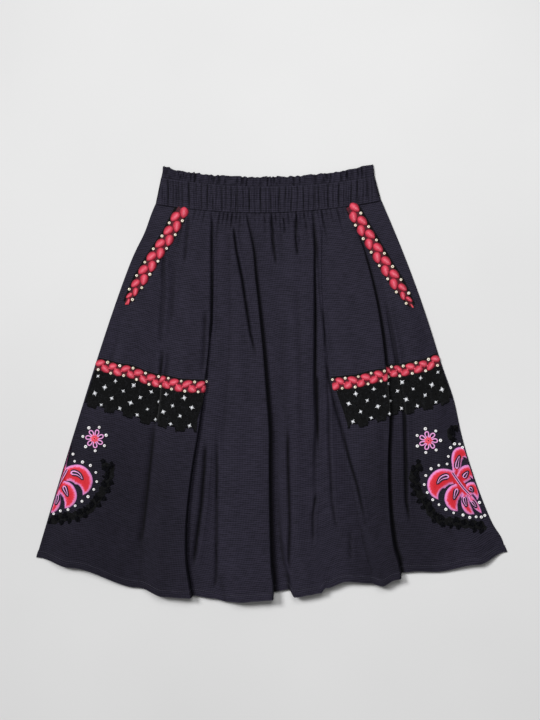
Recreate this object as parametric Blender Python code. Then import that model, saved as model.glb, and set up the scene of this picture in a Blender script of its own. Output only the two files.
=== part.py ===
"""An a-line skirt laid flat, front up: gathered panels, an elastic casing with a ruffle, and trims.

The frame is in metres: +X to the right, +Y from the hem to the waist, +Z up. The origin is on the
underside of the back, on the skirt's middle line. Sizes below are in millimetres.
"""

import math

import bpy
import numpy as np

MM = 0.001

# Thicknesses and gaps
CLOTH = 1.0  # a panel's wall
HEM_FOLD = 0.8  # what the turned hem adds
CASING_BACK = 1.8  # two layers of cloth and the elastic between them
CASING_FRONT = 2.0
LACE = 1.1
GAP = 0.3  # between pieces at a seam, and between layers
TRIM_GAP = 0.45  # between a panel and what is sewn on it

# Lines across the waist: Y at the middle, how far the ends curve up, how far the right end is up
WAIST_HALF = 180.0
WAIST_SEAM = (276.0, 16.5, 4.0)
CASING_TOP = (316.0, 16.5, 2.2)
RUFFLE_TOP = (330.0, 18.0, 3.6)

# Side edges of the skirt below the waist: Y, X of the left edge, X of the right edge
SIDES = (
    (289, -186, 175),
    (193, -226, 215),
    (78, -268, 254),
    (-38, -305, 290),
    (-95, -321, 305),
    (-153, -337, 321),
    (-191, -352, 336),
    (-230, -365, 356),
    (-276, -375, 377),
)
SIDE_CURVE = 4  # degree of the curve through the rows above
CASING_TAPER = (12.0, 14.0)  # how much narrower the top is than the seam, left and right
CASING_RUN = 57.0  # over this height

# Crease lines of the front, from left to right. "across" is the share of the skirt's width at the
# waist seam, a third down, two thirds down and at the hem, "rise" is how high the wall's underside
# stands there, "hem" is the Y where the line ends, and "cells" is how many columns follow it.
CREASES = (
    # name, across (4), rise (4), hem, cells
    ("side_left", (0.000, 0.000, 0.000, 0.000), (0.0, 0.0, 0.0, 0.0), -276, 3),
    ("swell_left", (0.110, 0.085, 0.070, 0.070), (2.2, 3.5, 5.0, 7.0), -295, 3),
    ("dip_left", (0.145, 0.182, 0.193, 0.205), (1.7, 2.5, 3.5, 4.5), -326, 3),
    ("roll_left", (0.195, 0.250, 0.250, 0.270), (2.6, 6.0, 9.0, 12.0), -341, 3),
    ("lip_a", (0.238, 0.309, 0.298, 0.309), (2.2, 7.0, 11.0, 15.0), -347, 2),
    ("seam_left", (0.252, 0.324, 0.312, 0.322), (1.4, 1.5, 2.0, 3.0), -340, 3),
    ("crest_b", (0.288, 0.350, 0.336, 0.348), (3.0, 6.0, 6.5, 7.5), -344, 4),
    ("dip_b", (0.312, 0.378, 0.366, 0.384), (2.0, 4.6, 4.5, 5.0), -349, 5),
    ("crest_c", (0.334, 0.420, 0.425, 0.432), (3.2, 8.5, 9.5, 12.0), -350, 3),
    ("dip_c", (0.352, 0.442, 0.455, 0.458), (2.0, 5.0, 9.5, 13.0), -348, 5),
    ("lip_d", (0.394, 0.478, 0.497, 0.487), (3.2, 11.0, 15.0, 18.0), -346, 2),
    ("trough_d", (0.408, 0.491, 0.509, 0.499), (1.2, 1.6, 2.0, 2.5), -334, 2),
    ("valley_d", (0.430, 0.500, 0.519, 0.529), (2.0, 2.4, 3.0, 3.0), -330, 2),
    ("lip_e", (0.450, 0.515, 0.532, 0.541), (3.2, 7.0, 10.0, 16.0), -342, 5),
    ("crest_f", (0.560, 0.580, 0.570, 0.566), (2.6, 9.0, 12.0, 14.5), -338, 6),
    ("lip_g", (0.680, 0.634, 0.599, 0.592), (3.0, 10.0, 13.0, 11.5), -335, 2),
    ("trough_g", (0.695, 0.648, 0.613, 0.608), (1.2, 2.0, 6.0, 9.0), -331, 4),
    ("crest_h", (0.720, 0.670, 0.665, 0.655), (2.8, 6.0, 9.0, 10.0), -321, 4),
    ("seam_right", (0.745, 0.692, 0.707, 0.692), (1.8, 3.8, 5.5, 6.5), -318, 4),
    ("roll_right", (0.800, 0.780, 0.756, 0.730), (2.6, 7.0, 9.0, 9.5), -324, 4),
    ("lip_i", (0.852, 0.860, 0.804, 0.763), (2.0, 9.0, 11.0, 14.0), -313, 2),
    ("trough_i", (0.866, 0.873, 0.817, 0.776), (1.5, 1.8, 2.0, 3.0), -303, 3),
    ("swell_i", (0.880, 0.888, 0.838, 0.815), (2.0, 4.5, 5.0, 6.0), -301, 2),
    ("dip_right", (0.893, 0.905, 0.862, 0.850), (1.7, 3.0, 3.5, 4.5), -300, 3),
    ("swell_right", (0.912, 0.945, 0.940, 0.940), (2.0, 3.5, 5.0, 6.5), -288, 3),
    ("side_right", (1.000, 1.000, 1.000, 1.000), (0.0, 0.0, 0.0, 0.0), -270, 0),
)

# Small gathers let into the waist seam, which fade down the panels
GATHER_RISE = 1.3
GATHER_FADE = 0.075  # share of the length over which they fade to a third
GATHER_COLUMNS = 3  # columns of the mesh to one gather

# Bands at levels down the panels, as shares of the length from the waist seam to the hem
BRAID_TOP = 0.443
BRAID_FOOT = 0.469
LACE_FOOT = 0.579
LEVELS = (0, 0.03, 0.07, 0.12, 0.19, 0.26, 0.32, 0.38, BRAID_TOP, BRAID_FOOT, 0.525, LACE_FOOT,
          0.65, 0.73, 0.81, 0.89, 0.95, 0.984, 1)
HEM_LEVEL = 0.984  # the turned hem lies below this

# Slant pockets: share of the width at the seam, and the level where the opening meets the side
POCKETS = {"left": (0.072, 0.36), "right": (0.084, 0.38)}
FACING_FOOT = 0.37
FACING_UNDERLAP = 10.0
FACING_CLEAR = 1.45  # how far the panel rises over the facing

# Casing and ruffle
CRINKLES = 48
CRINKLE_RISE = 0.8
RUFFLES = 34
RUFFLE_RISE = 1.9

# Back panels
BACK_HEM_UP = 3.0
BACK_LEVELS = (0, 0.12, 0.26, 0.38, 0.5, 0.62, 0.73, 0.84, 0.93, 1)

# Leaf braids: half width, pitch of the leaf pairs, rise of a leaf over its ground
POCKET_BRAID = {"half": 9.0, "pitch": 25.0, "rise": 1.3, "inset": 11.0, "tail": 26.0}
BAND_BRAID = {"half": 7.6, "pitch": 22.0, "rise": 1.3}
BRAID_GROUND = 0.9
BRAID_ACROSS = (-1.0, -0.52, 0.0, 0.52, 1.0)
BRAID_SLANT = 7.0  # how far the leaves' outer ends lead their inner ends
LEAF_PROFILE = (0.25, 0.85, 1.0, 0.6)  # height of one leaf at quarters of its pitch
LEAF_EDGE = (0.84, 1.0, 1.0, 0.92)  # and its outline

# Lace tabs along the foot of the lace band
TABS = 6
TAB_DEPTH = 9.0

# Star flowers: centre and radius
STARS = {"left": (-284.6, -88.3), "right": (248.8, -90.4)}
STAR_RADIUS = 14.5
STAR_PETALS = 7
STAR_RISE = 1.4

# Leaf appliques at the side edges: centre, and the side edge cuts them off
LEAVES = {"left": (-327.0, -159.0), "right": (298.0, -158.0)}
LEAF_RADIUS = 51.0
LEAF_LOBES = 9
LEAF_NOTCH = 0.17  # share of the radius by which the outline dips between lobes
LEAF_RISE = 1.6
LEAF_EDGE_CLEAR = 2.0

# Tasselled lace round each leaf. Angles are counted from +X on the right, and mirrored on the left.
EDGINGS = (
    # name, side, start angle, end angle, radius at the start, radius at the end, scallops
    ("leaf_edging_left", "left", 148.0, 292.0, 68.0, 72.0, 9),
    ("leaf_edging_right", "right", 156.0, 300.0, 79.0, 88.0, 11),
    ("leaf_edging_top_right", "right", 93.0, 107.0, 78.0, 78.0, 1),
)
EDGING_HALF = 8.5
EDGING_RISE = 1.0


def smooth(share):
    share = np.clip(share, 0.0, 1.0)
    return share * share * (3 - 2 * share)


def stations(values, level):
    """The curve through four values at level 0, 1/3, 2/3 and 1."""
    total = 0.0
    places = (0.0, 1 / 3, 2 / 3, 1.0)
    for i, value in enumerate(values):
        weight = 1.0
        for j, place in enumerate(places):
            if j != i:
                weight *= (level - place) / (places[i] - place)
        total += weight * value
    return total


def waist_line(x, line):
    middle, bow, tilt = line
    return middle + bow * (x / WAIST_HALF) ** 2 + tilt * x / WAIST_HALF


side_y, side_l, side_r = np.array(SIDES, float).T
LEFT_EDGE = np.polyfit(side_y / 100, side_l, SIDE_CURVE)
RIGHT_EDGE = np.polyfit(side_y / 100, side_r, SIDE_CURVE)


def seam_end(curve):
    """X where a side edge meets the waist seam."""
    x = 0.0
    for _ in range(12):
        x = float(np.polyval(curve, waist_line(x, WAIST_SEAM) / 100))
    return x


SEAM_ENDS = (seam_end(LEFT_EDGE), seam_end(RIGHT_EDGE))


def edges_at(level):
    """X of the left and the right side edge at a level."""
    found = []
    for curve, top, crease in zip((LEFT_EDGE, RIGHT_EDGE), SEAM_ENDS, (CREASES[0], CREASES[-1])):
        y = waist_line(top, WAIST_SEAM) * (1 - level) + crease[3] * level
        found.append(float(np.polyval(curve, y / 100)))
    return found


def crease_at(name, level):
    row = next(r for r in CREASES if r[0] == name)
    return stations(row[1], level)


def front_point(across, level):
    """Underside of the front at a share of the width and a level: between two creases it rolls."""
    places = [stations(row[1], level) for row in CREASES]
    index = int(np.clip(np.searchsorted(places, across) - 1, 0, len(places) - 2))
    share = smooth((across - places[index]) / (places[index + 1] - places[index]))
    here, after = CREASES[index], CREASES[index + 1]
    rise = stations(here[2], level) * (1 - share) + stations(after[2], level) * share
    hem = here[3] * (1 - share) + after[3] * share
    left, right = edges_at(level)
    x = left + (right - left) * across
    top = waist_line(SEAM_ENDS[0] + (SEAM_ENDS[1] - SEAM_ENDS[0]) * across, WAIST_SEAM)
    return np.array([x, top * (1 - level) + hem * level, max(rise, 0.0)])


def front_normal(across, level):
    step = 0.001
    low, high = max(level - step, 0.0), min(level + step, 1.0)
    over = front_point(min(across + step, 1.0), level) - front_point(max(across - step, 0.0), level)
    down = front_point(across, high) - front_point(across, low)
    normal = np.cross(down, over)
    return normal / np.linalg.norm(normal)


def pocket_line(side, level):
    """Share of the width from the side edge to the pocket opening."""
    at_seam, foot = POCKETS[side]
    return max(0.0, at_seam * (1 - level / foot))


def panel_columns(first, last, level, pocket):
    """Shares of the width at one level: every crease line from first to last and columns between."""
    names = [row[0] for row in CREASES]
    picked = CREASES[names.index(first) : names.index(last) + 1]
    places = [stations(row[1], level) for row in picked]
    if pocket == "left":
        places[0] = pocket_line("left", level)
    if pocket == "right":
        places[-1] = 1 - pocket_line("right", level)
    columns = []
    for row, here, after in zip(picked, places, places[1:]):
        columns += [here + (after - here) * k / row[4] for k in range(row[4])]
    return columns + [places[-1]]


def front_panel(first, last, pocket=None):
    """Grids of the panel's underside and top. Both share their rows with the panels beside."""
    under, top = [], []
    for level in LEVELS:
        columns = panel_columns(first, last, level, pocket)
        row_under, row_top = [], []
        for k, across in enumerate(columns):
            point = front_point(across, level)
            normal = front_normal(across, level)
            wave = math.cos(2 * math.pi * k / GATHER_COLUMNS) * (0.75 + 0.25 * math.sin(1.9 * k))
            inner = 0 < k < len(columns) - 1
            point[2] += inner * GATHER_RISE * (wave + 0.5) * math.exp(-level / GATHER_FADE)
            if pocket:
                point[2] = max(point[2], FACING_CLEAR * (1 - smooth((level - 0.39) / 0.08)))
            point[2] += CLOTH + GAP
            if first != "side_left" and k == 0:
                point[0] += GAP / 2
            if last != "side_right" and k == len(columns) - 1:
                point[0] -= GAP / 2
            wall = CLOTH + HEM_FOLD * (level >= HEM_LEVEL)
            if level == 0:
                normal = np.array([0.0, 0.0, 1.0])
                point[1] -= GAP / 2
            row_under.append(point)
            row_top.append(point + normal * wall)
        under.append(row_under)
        top.append(row_top)
    return np.array(under), np.array(top)


def grid_triangles(rows, columns):
    """Two triangles to a cell, with the same diagonal everywhere, wound to face up."""
    found = []
    for r in range(rows - 1):
        for c in range(columns - 1):
            a = r * columns + c
            b, d, e = a + 1, a + columns, a + columns + 1
            found += [(a, d, e), (a, e, b)]
    return found


class Ground:
    """The top of a panel, to find the height of what is sewn on it."""

    def __init__(self, top):
        rows, columns, _ = top.shape
        self.corners = top.reshape(-1, 3)[np.array(grid_triangles(rows, columns))]

    def height(self, x, y):
        a, b, c = (self.corners[:, i, :2] for i in range(3))
        spot = np.array([x, y])
        whole = np.cross(b - a, c - a)
        share_b = np.cross(spot - a, c - a) / whole
        share_c = np.cross(b - a, spot - a) / whole
        shares = np.stack([1 - share_b - share_c, share_b, share_c], axis=1)
        best = int(np.argmax(shares.min(axis=1)))
        weights = np.clip(shares[best], 0.0, 1.0)
        return float(weights @ self.corners[best, :, 2] / weights.sum())

    def seat(self, x, y, reach):
        """The highest ground within reach, so that a coarse mesh on it stays clear."""
        heights = [self.height(x, y)]
        for k in range(12):
            out = reach * (1 - 0.5 * (k % 2))
            angle = k * math.pi / 6
            heights.append(self.height(x + out * math.cos(angle), y + out * math.sin(angle)))
        return TRIM_GAP + max(heights)


def make_material(name, colour, roughness):
    material = bpy.data.materials.new(name)
    material.use_nodes = True
    shader = material.node_tree.nodes["Principled BSDF"]
    shader.inputs["Base Color"].default_value = (*colour, 1.0)
    shader.inputs["Roughness"].default_value = roughness
    shader.inputs["Metallic"].default_value = 0.0
    return material


def make_object(name, points, faces, material):
    mesh = bpy.data.meshes.new(name)
    mesh.from_pydata((np.array(points) * MM).tolist(), [], faces)
    mesh.validate()
    mesh.shade_smooth()
    mesh.set_sharp_from_angle(angle=math.radians(50))
    made = bpy.data.objects.new(name, mesh)
    made.data.materials.append(material)
    bpy.context.scene.collection.objects.link(made)
    return made


def wall_object(name, under, top, material):
    """A closed wall between two grids of the same rows and columns."""
    rows, columns, _ = under.shape
    count = rows * columns
    faces = grid_triangles(rows, columns)
    faces += [(a + count, c + count, b + count) for a, b, c in faces]
    rim = [c for c in range(columns)]
    rim += [r * columns + columns - 1 for r in range(1, rows)]
    rim += [(rows - 1) * columns + c for c in range(columns - 2, -1, -1)]
    rim += [r * columns for r in range(rows - 2, 0, -1)]
    for here, after in zip(rim, rim[1:] + rim[:1]):
        faces += [(here, after, after + count), (here, after + count, here + count)]
    points = np.concatenate([top.reshape(-1, 3), under.reshape(-1, 3)])
    return make_object(name, points, faces, material)


def disc_object(name, rings, centres, material):
    """A closed disc: rings is a list of (under, top) loops from the rim inwards."""
    size = len(rings[0][0])
    points, faces = [], []
    for under, top in rings:
        points += list(top) + list(under)
    middle = len(points)
    points += list(centres)
    for ring in range(len(rings)):
        start = ring * 2 * size
        for k in range(size):
            a, b = start + k, start + (k + 1) % size
            if ring + 1 < len(rings):
                c, d = a + 2 * size, b + 2 * size
                faces += [(a, b, d), (a, d, c), (a + size, d + size, b + size)]
                faces += [(a + size, c + size, d + size)]
            else:
                faces += [(a, b, middle), (b + size, a + size, middle + 1)]
            if ring == 0:
                faces += [(a, a + size, b + size), (a, b + size, b)]
    return make_object(name, points, faces, material)


def flat_plate(name, rows, thickness, material, base=0.0):
    """A flat wall from rows of (x, y) points."""
    plan = np.array(rows, float)
    under = np.concatenate([plan, np.full((*plan.shape[:2], 1), base)], axis=2)
    top = under + np.array([0.0, 0.0, thickness])
    return wall_object(name, under, top, material)


def waist_ends(line):
    """X of both ends of a line across the waist."""
    up = (line[0] - WAIST_SEAM[0]) / CASING_RUN
    return SEAM_ENDS[0] + CASING_TAPER[0] * up, SEAM_ENDS[1] - CASING_TAPER[1] * up


def waist_rows(lower, upper, shares, columns):
    """Rows of (x, y) between two lines across the waist, half a gap clear of both."""
    found = []
    for share in shares:
        ends = np.array(waist_ends(lower)) * (1 - share) + np.array(waist_ends(upper)) * share
        xs = np.linspace(ends[0], ends[1], columns)
        ys = waist_line(xs, lower) * (1 - share) + waist_line(xs, upper) * share
        ys += GAP / 2 * (1 - 2 * share)
        found.append(np.stack([xs, ys], axis=1))
    return np.array(found)[::-1]


def make_casing(cotton):
    shares = (0.0, 0.5, 1.0)
    flat_plate("waistband_back", waist_rows(WAIST_SEAM, CASING_TOP, shares, 13), CASING_BACK, cotton)
    columns = CRINKLES * 3 + 1
    plan = waist_rows(WAIST_SEAM, CASING_TOP, shares, columns)
    under = np.concatenate([plan, np.full((3, columns, 1), CASING_BACK + GAP)], axis=2)
    top = under.copy()
    for row, swell in enumerate((0.5, 1.0, 0.5)):
        for k in range(columns):
            wave = math.cos(2 * math.pi * k / 3) * (0.8 + 0.2 * math.sin(1.3 * k))
            top[row, k, 2] += CASING_FRONT + swell * 0.6 + CRINKLE_RISE * swell * wave
    wall_object("waistband_front", under, top, cotton)


def make_ruffle(cotton):
    shares = (0.0, 1.0)
    flat_plate("waist_ruffle_back", waist_rows(CASING_TOP, RUFFLE_TOP, shares, 13), CLOTH, cotton)
    columns = RUFFLES * 4 + 1
    under = np.zeros((2, columns, 3))
    under[:, :, :2] = waist_rows(CASING_TOP, RUFFLE_TOP, shares, columns)
    for row, swell in enumerate((1.0, 0.15)):
        for k in range(columns):
            turn = 2 * math.pi * k / 4 + 0.5 * swell + 0.5 * math.sin(0.21 * k)
            uneven = 0.8 + 0.2 * math.sin(0.83 * k)
            under[row, k, 1] += swell * 1.2 * math.sin(turn + 1.0) * (row == 0)
            under[row, k, 2] = CLOTH + 2 * GAP + RUFFLE_RISE * swell * (1 + uneven * math.cos(turn))
    top = under + np.array([0.0, 0.0, CLOTH])
    wall_object("waist_ruffle_front", under, top, cotton)


def make_back(cotton):
    """Flat panels that the front lies on. Their hem is a little shorter and hides under it."""
    ends = (0.0, crease_at("seam_left", 0.5), crease_at("seam_right", 0.5), 1.0)
    pieces = (("back_side_left", 0, 4), ("back_centre", 1, 8), ("back_side_right", 2, 4))
    for name, index, cells in pieces:
        rows = []
        for level in BACK_LEVELS:
            row = []
            for k in range(cells + 1):
                across = ends[index] + (ends[index + 1] - ends[index]) * k / cells
                around = [np.clip(across + shift, 0, 1) for shift in (-0.03, 0.0, 0.03)]
                x, y, _ = front_point(across, level)
                y = max([y] + [front_point(spot, level)[1] for spot in around if level > 0])
                y += BACK_HEM_UP * level - GAP / 2 * (level == 0)
                if k == 0 and index > 0:
                    x += GAP / 2
                if k == cells and index < 2:
                    x -= GAP / 2
                row.append((x, y))
            rows.append(row)
        flat_plate(name, rows, CLOTH, cotton)


def make_facing(side, cotton):
    """The hip piece that shows between the pocket opening and the side edge."""
    rows = []
    for level in [FACING_FOOT * k / 6 for k in range(7)]:
        left, right = edges_at(level)
        reach = pocket_line(side, level) + FACING_UNDERLAP / (right - left)
        row = []
        for k in range(6):
            across = reach * k / 5 if side == "left" else 1 - reach * (1 - k / 5)
            x, y, _ = front_point(across, level)
            row.append((x, y - GAP * (level == 0)))
        rows.append(row)
    flat_plate(f"pocket_facing_{side}", rows, CLOTH, cotton, base=CLOTH + GAP)


def make_braid(name, path, size, ground, material, tail=0.0):
    """A strip of leaf pairs along a path of plan points, raised leaf by leaf in its outer points."""
    path = np.array(path, float)
    runs = np.concatenate([[0], np.cumsum(np.linalg.norm(np.diff(path, axis=0), axis=1))])
    length = runs[-1]
    steps = int(round(length / size["pitch"] * 4))
    under, top = [], []
    for k in range(steps + 1):
        along = length * k / steps
        quarter = k % 4
        left_over = length - along
        narrow = 1.0 if tail == 0 else float(np.clip(0.16 + 0.84 * left_over / tail, 0.16, 1.0))
        row_under, row_top = [], []
        for across in BRAID_ACROSS:
            lead = np.clip(along + BRAID_SLANT * abs(across) * (0 < k < steps), 0, length)
            here = np.array([np.interp(lead, runs, path[:, 0]), np.interp(lead, runs, path[:, 1])])
            ahead = np.array([np.interp(min(lead + 3, length), runs, path[:, i]) for i in range(2)])
            behind = np.array([np.interp(max(lead - 3, 0), runs, path[:, i]) for i in range(2)])
            way = (ahead - behind) / np.linalg.norm(ahead - behind)
            aside = np.array([-way[1], way[0]])
            reach = size["half"] * narrow * across * LEAF_EDGE[quarter]
            x, y = here + aside * reach
            seat = ground.seat(x, y, 4.2)
            crest = 0.15 if abs(across) == 1 else 1.0 if across else 0.35
            rise = BRAID_GROUND + size["rise"] * crest * LEAF_PROFILE[quarter] * narrow
            row_under.append((x, y, seat))
            row_top.append((x, y, seat + rise))
        under.append(row_under)
        top.append(row_top)
    under, top = np.array(under), np.array(top)
    if np.cross(under[1, 2, :2] - under[0, 2, :2], under[0, -1, :2] - under[0, 0, :2]) < 0:
        under, top = under[:, ::-1], top[:, ::-1]
    return wall_object(name, under, top, material)


def pocket_path(side):
    """Down the middle of the pocket braid, from the waist seam to its tail."""
    turn = 1 if side == "left" else -1
    points = []
    for level in np.linspace(0.006, POCKETS[side][1] - 0.035, 9):
        share = pocket_line(side, level)
        x, y, _ = front_point(share if side == "left" else 1 - share, level)
        points.append((x + turn * POCKET_BRAID["inset"], y))
    return points


def band_span(side, level):
    """Shares of the width that a band covers, from the side edge to the princess seam."""
    left, right = edges_at(level)
    clear = 1.2 / (right - left)
    if side == "left":
        return clear, crease_at("seam_left", level) - clear
    return crease_at("seam_right", level) + clear, 1 - clear


def make_band(side, ground, braid, lace):
    level = (BRAID_TOP + BRAID_FOOT) / 2
    start, end = band_span(side, level)
    path = [front_point(across, level)[:2] for across in np.linspace(start, end, 25)]
    make_braid(f"band_braid_{side}", path, BAND_BRAID, ground, braid)

    ends = ("side_left", "seam_left") if side == "left" else ("seam_right", "side_right")
    down = front_point(0.15, BRAID_TOP)[1] - front_point(0.15, LACE_FOOT)[1]
    tab = TAB_DEPTH / down * (LACE_FOOT - BRAID_TOP)
    under = []
    for level in (BRAID_FOOT + 0.004, 0.525, LACE_FOOT):
        start, end = band_span(side, level)
        columns = panel_columns(*ends, level, side)
        columns = np.clip(columns, start, end)
        halves = (columns[:-1] + columns[1:]) / 2
        columns = np.insert(columns, np.arange(1, len(columns)), halves)
        points = []
        for across in columns:
            between = math.sin(2 * math.pi * TABS * (across - start) / (end - start)) < 0
            raised = tab * (level == LACE_FOOT and between)
            x, y, _ = front_point(across, level - raised)
            points.append((x, y, ground.seat(x, y, 1.5)))
        under.append(points)
    under = np.array(under)
    wall_object(f"band_lace_{side}", under, under + np.array([0.0, 0.0, LACE]), lace)


def polar_disc(name, centre, outline, rise, shares, ground, material, steps):
    """A round applique: outline gives the radius at an angle, rise the height at (angle, share)."""
    rings = []
    for share in shares:
        under, top = [], []
        for k in range(steps):
            angle = 2 * math.pi * k / steps
            reach = outline(angle) * share
            x = centre[0] + reach * math.cos(angle)
            y = centre[1] + reach * math.sin(angle)
            seat = ground.seat(x, y, 5.0)
            under.append((x, y, seat))
            top.append((x, y, seat + rise(angle, share)))
        rings.append((under, top))
    seat = ground.seat(*centre, 3.0)
    middle = [(*centre, seat + rise(0.0, 0.0)), (*centre, seat)]
    return disc_object(name, rings, middle, material)


def make_star(side, ground, material):
    def outline(angle):
        return STAR_RADIUS * (0.5 + 0.5 * abs(math.cos(STAR_PETALS * angle / 2)) ** 0.7)

    def rise(angle, share):
        return 0.5 + STAR_RISE * (1.0 if share < 0.3 else 0.75 if share < 0.9 else 0.2)

    polar_disc(f"star_{side}", STARS[side], outline, rise, (1.0, 0.62, 0.28), ground, material,
               STAR_PETALS * 4)


def side_limit(side, centre, angle):
    """How far a ray from a point on the panel goes before the side edge."""
    reach = 0.0
    while reach < 120.0:
        x = centre[0] + (reach + 1) * math.cos(angle)
        y = centre[1] + (reach + 1) * math.sin(angle)
        edge = np.polyval(LEFT_EDGE if side == "left" else RIGHT_EDGE, y / 100)
        outside = x < edge + LEAF_EDGE_CLEAR if side == "left" else x > edge - LEAF_EDGE_CLEAR
        if outside:
            return reach
        reach += 1.0
    return reach


def make_leaf(side, ground, material):
    centre = LEAVES[side]
    steps = LEAF_LOBES * 4

    def outline(angle):
        dip = abs(math.sin(LEAF_LOBES * angle / 2)) ** 0.6
        radius = LEAF_RADIUS * (1 - LEAF_NOTCH + LEAF_NOTCH * dip)
        return min(radius, side_limit(side, centre, angle))

    def rise(angle, share):
        lobe = abs(math.sin(LEAF_LOBES * angle / 2)) ** 0.5
        return 0.6 + LEAF_RISE * (0.15 if share > 0.95 else lobe if share > 0.3 else 0.7)

    polar_disc(f"leaf_{side}", centre, outline, rise, (1.0, 0.8, 0.4), ground, material, steps)


def make_edging(row, ground, material):
    """Black tasselled lace that curves round the leaf, scalloped along its outer edge."""
    name, side, start, end, radius_start, radius_end, scallops = row
    centre = LEAVES[side]
    steps = scallops * 4
    rows_in, rows_mid, rows_out = [], [], []
    for k in range(steps + 1):
        share = k / steps
        degrees = start + (end - start) * share
        angle = math.radians(degrees if side == "right" else 180 - degrees)
        middle = radius_start + (radius_end - radius_start) * share
        scallop = 2.5 * abs(math.sin(math.pi * scallops * share))
        ends = math.sin(math.pi * share) ** 0.35 if 0 < share < 1 else 0.25
        for rows, reach in ((rows_in, middle - EDGING_HALF * ends), (rows_mid, middle),
                            (rows_out, middle + (EDGING_HALF + scallop) * ends)):
            x = centre[0] + reach * math.cos(angle)
            y = centre[1] + reach * math.sin(angle)
            rows.append((x, y, ground.seat(x, y, 3.0)))
    under = np.array([rows_in, rows_mid, rows_out])
    top = under.copy()
    for k in range(steps + 1):
        knot = abs(math.sin(math.pi * k / 4 + 0.4))
        top[:, k, 2] += 0.8 + np.array([0.2, 1.0, 0.6]) * EDGING_RISE * knot
    if side == "left":
        under, top = under[:, ::-1], top[:, ::-1]
    wall_object(name, under, top, material)


def main():
    for old in list(bpy.data.objects):
        bpy.data.objects.remove(old)

    cotton = make_material("cotton", (0.024, 0.023, 0.034), 0.9)
    braid = make_material("petal_braid", (0.62, 0.07, 0.10), 0.7)
    lace = make_material("lace", (0.006, 0.006, 0.007), 0.95)
    silk = make_material("silk_embroidery", (0.62, 0.10, 0.22), 0.55)

    panels = {
        "left": front_panel("side_left", "seam_left", "left"),
        "centre": front_panel("seam_left", "seam_right"),
        "right": front_panel("seam_right", "side_right", "right"),
    }
    wall_object("front_centre", *panels["centre"], cotton)
    make_casing(cotton)
    make_ruffle(cotton)
    make_back(cotton)
    for side in ("left", "right"):
        wall_object(f"front_side_{side}", *panels[side], cotton)
        ground = Ground(panels[side][1])
        make_facing(side, cotton)
        make_braid(f"pocket_braid_{side}", pocket_path(side), POCKET_BRAID, ground, braid,
                   POCKET_BRAID["tail"])
        make_band(side, ground, braid, lace)
        make_star(side, ground, silk)
        make_leaf(side, ground, silk)
        for row in EDGINGS:
            if row[1] == side:
                make_edging(row, ground, lace)


main()
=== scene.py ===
import math

import bmesh
import bpy
import numpy as np
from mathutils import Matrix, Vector
from mathutils.bvhtree import BVHTree


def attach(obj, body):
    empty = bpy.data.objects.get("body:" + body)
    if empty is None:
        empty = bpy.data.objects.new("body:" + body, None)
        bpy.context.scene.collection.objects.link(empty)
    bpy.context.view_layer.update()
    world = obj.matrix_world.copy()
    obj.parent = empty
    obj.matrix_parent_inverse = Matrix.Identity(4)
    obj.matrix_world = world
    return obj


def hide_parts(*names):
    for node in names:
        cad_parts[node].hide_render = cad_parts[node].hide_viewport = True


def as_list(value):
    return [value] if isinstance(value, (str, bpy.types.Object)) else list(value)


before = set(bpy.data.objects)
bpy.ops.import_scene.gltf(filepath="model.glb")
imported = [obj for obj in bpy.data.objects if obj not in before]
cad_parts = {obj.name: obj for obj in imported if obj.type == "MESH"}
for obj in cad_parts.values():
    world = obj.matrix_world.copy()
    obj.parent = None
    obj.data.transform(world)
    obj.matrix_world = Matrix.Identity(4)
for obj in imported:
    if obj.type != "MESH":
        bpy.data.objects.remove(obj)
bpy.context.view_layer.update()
scene = bpy.context.scene
mm = 0.001
sides = ("left", "right")
print("frame loaded")


def smooth(share):
    share = np.clip(share, 0.0, 1.0)
    return share * share * (3 - 2 * share)


def bell(away):
    return np.exp(-(away**2))


def unit(vectors):
    return vectors / np.maximum(np.linalg.norm(vectors, axis=-1, keepdims=True), 1e-9)


def linearColour(hexText):
    values = [int(hexText[i : i + 2], 16) / 255 for i in (1, 3, 5)]
    linear = [v / 12.92 if v <= 0.04045 else ((v + 0.055) / 1.055) ** 2.4 for v in values]
    return (*linear, 1.0)


def addNode(tree, kind, inputs=None, **settings):
    # an input is a value, a socket, or a node that stands for its first output
    node = tree.nodes.new(kind)
    for name, value in settings.items():
        setattr(node, name, value)
    for socket, value in (inputs or {}).items():
        if isinstance(value, bpy.types.Node):
            value = value.outputs[0]
        if isinstance(value, bpy.types.NodeSocket):
            tree.links.new(value, node.inputs[socket])
        else:
            node.inputs[socket].default_value = value
    return node


def gridFaces(rows, columns, start=0):
    index = np.arange(rows * columns).reshape(rows, columns) + start
    quads = np.stack([index[:-1, :-1], index[1:, :-1], index[1:, 1:], index[:-1, 1:]], axis=-1)
    return quads.reshape(-1, 4).tolist()


def closedFaces(rows, columns):
    # a grid on top, the same grid below, and the rim between them
    count = rows * columns
    faces = gridFaces(rows, columns)
    faces += [[a, d, c, b] for a, b, c, d in gridFaces(rows, columns, count)]
    index = np.arange(count).reshape(rows, columns)
    rim = np.concatenate([index[0], index[1:, -1], index[-1, -2::-1], index[-2:0:-1, 0]]).tolist()
    for here, after in zip(rim, rim[1:] + rim[:1]):
        faces.append([here, after, after + count, here + count])
    return faces


def turnOut(made, near=None):
    if near:
        bmesh.ops.remove_doubles(made, verts=made.verts, dist=near)
    bmesh.ops.recalc_face_normals(made, faces=made.faces)


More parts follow.
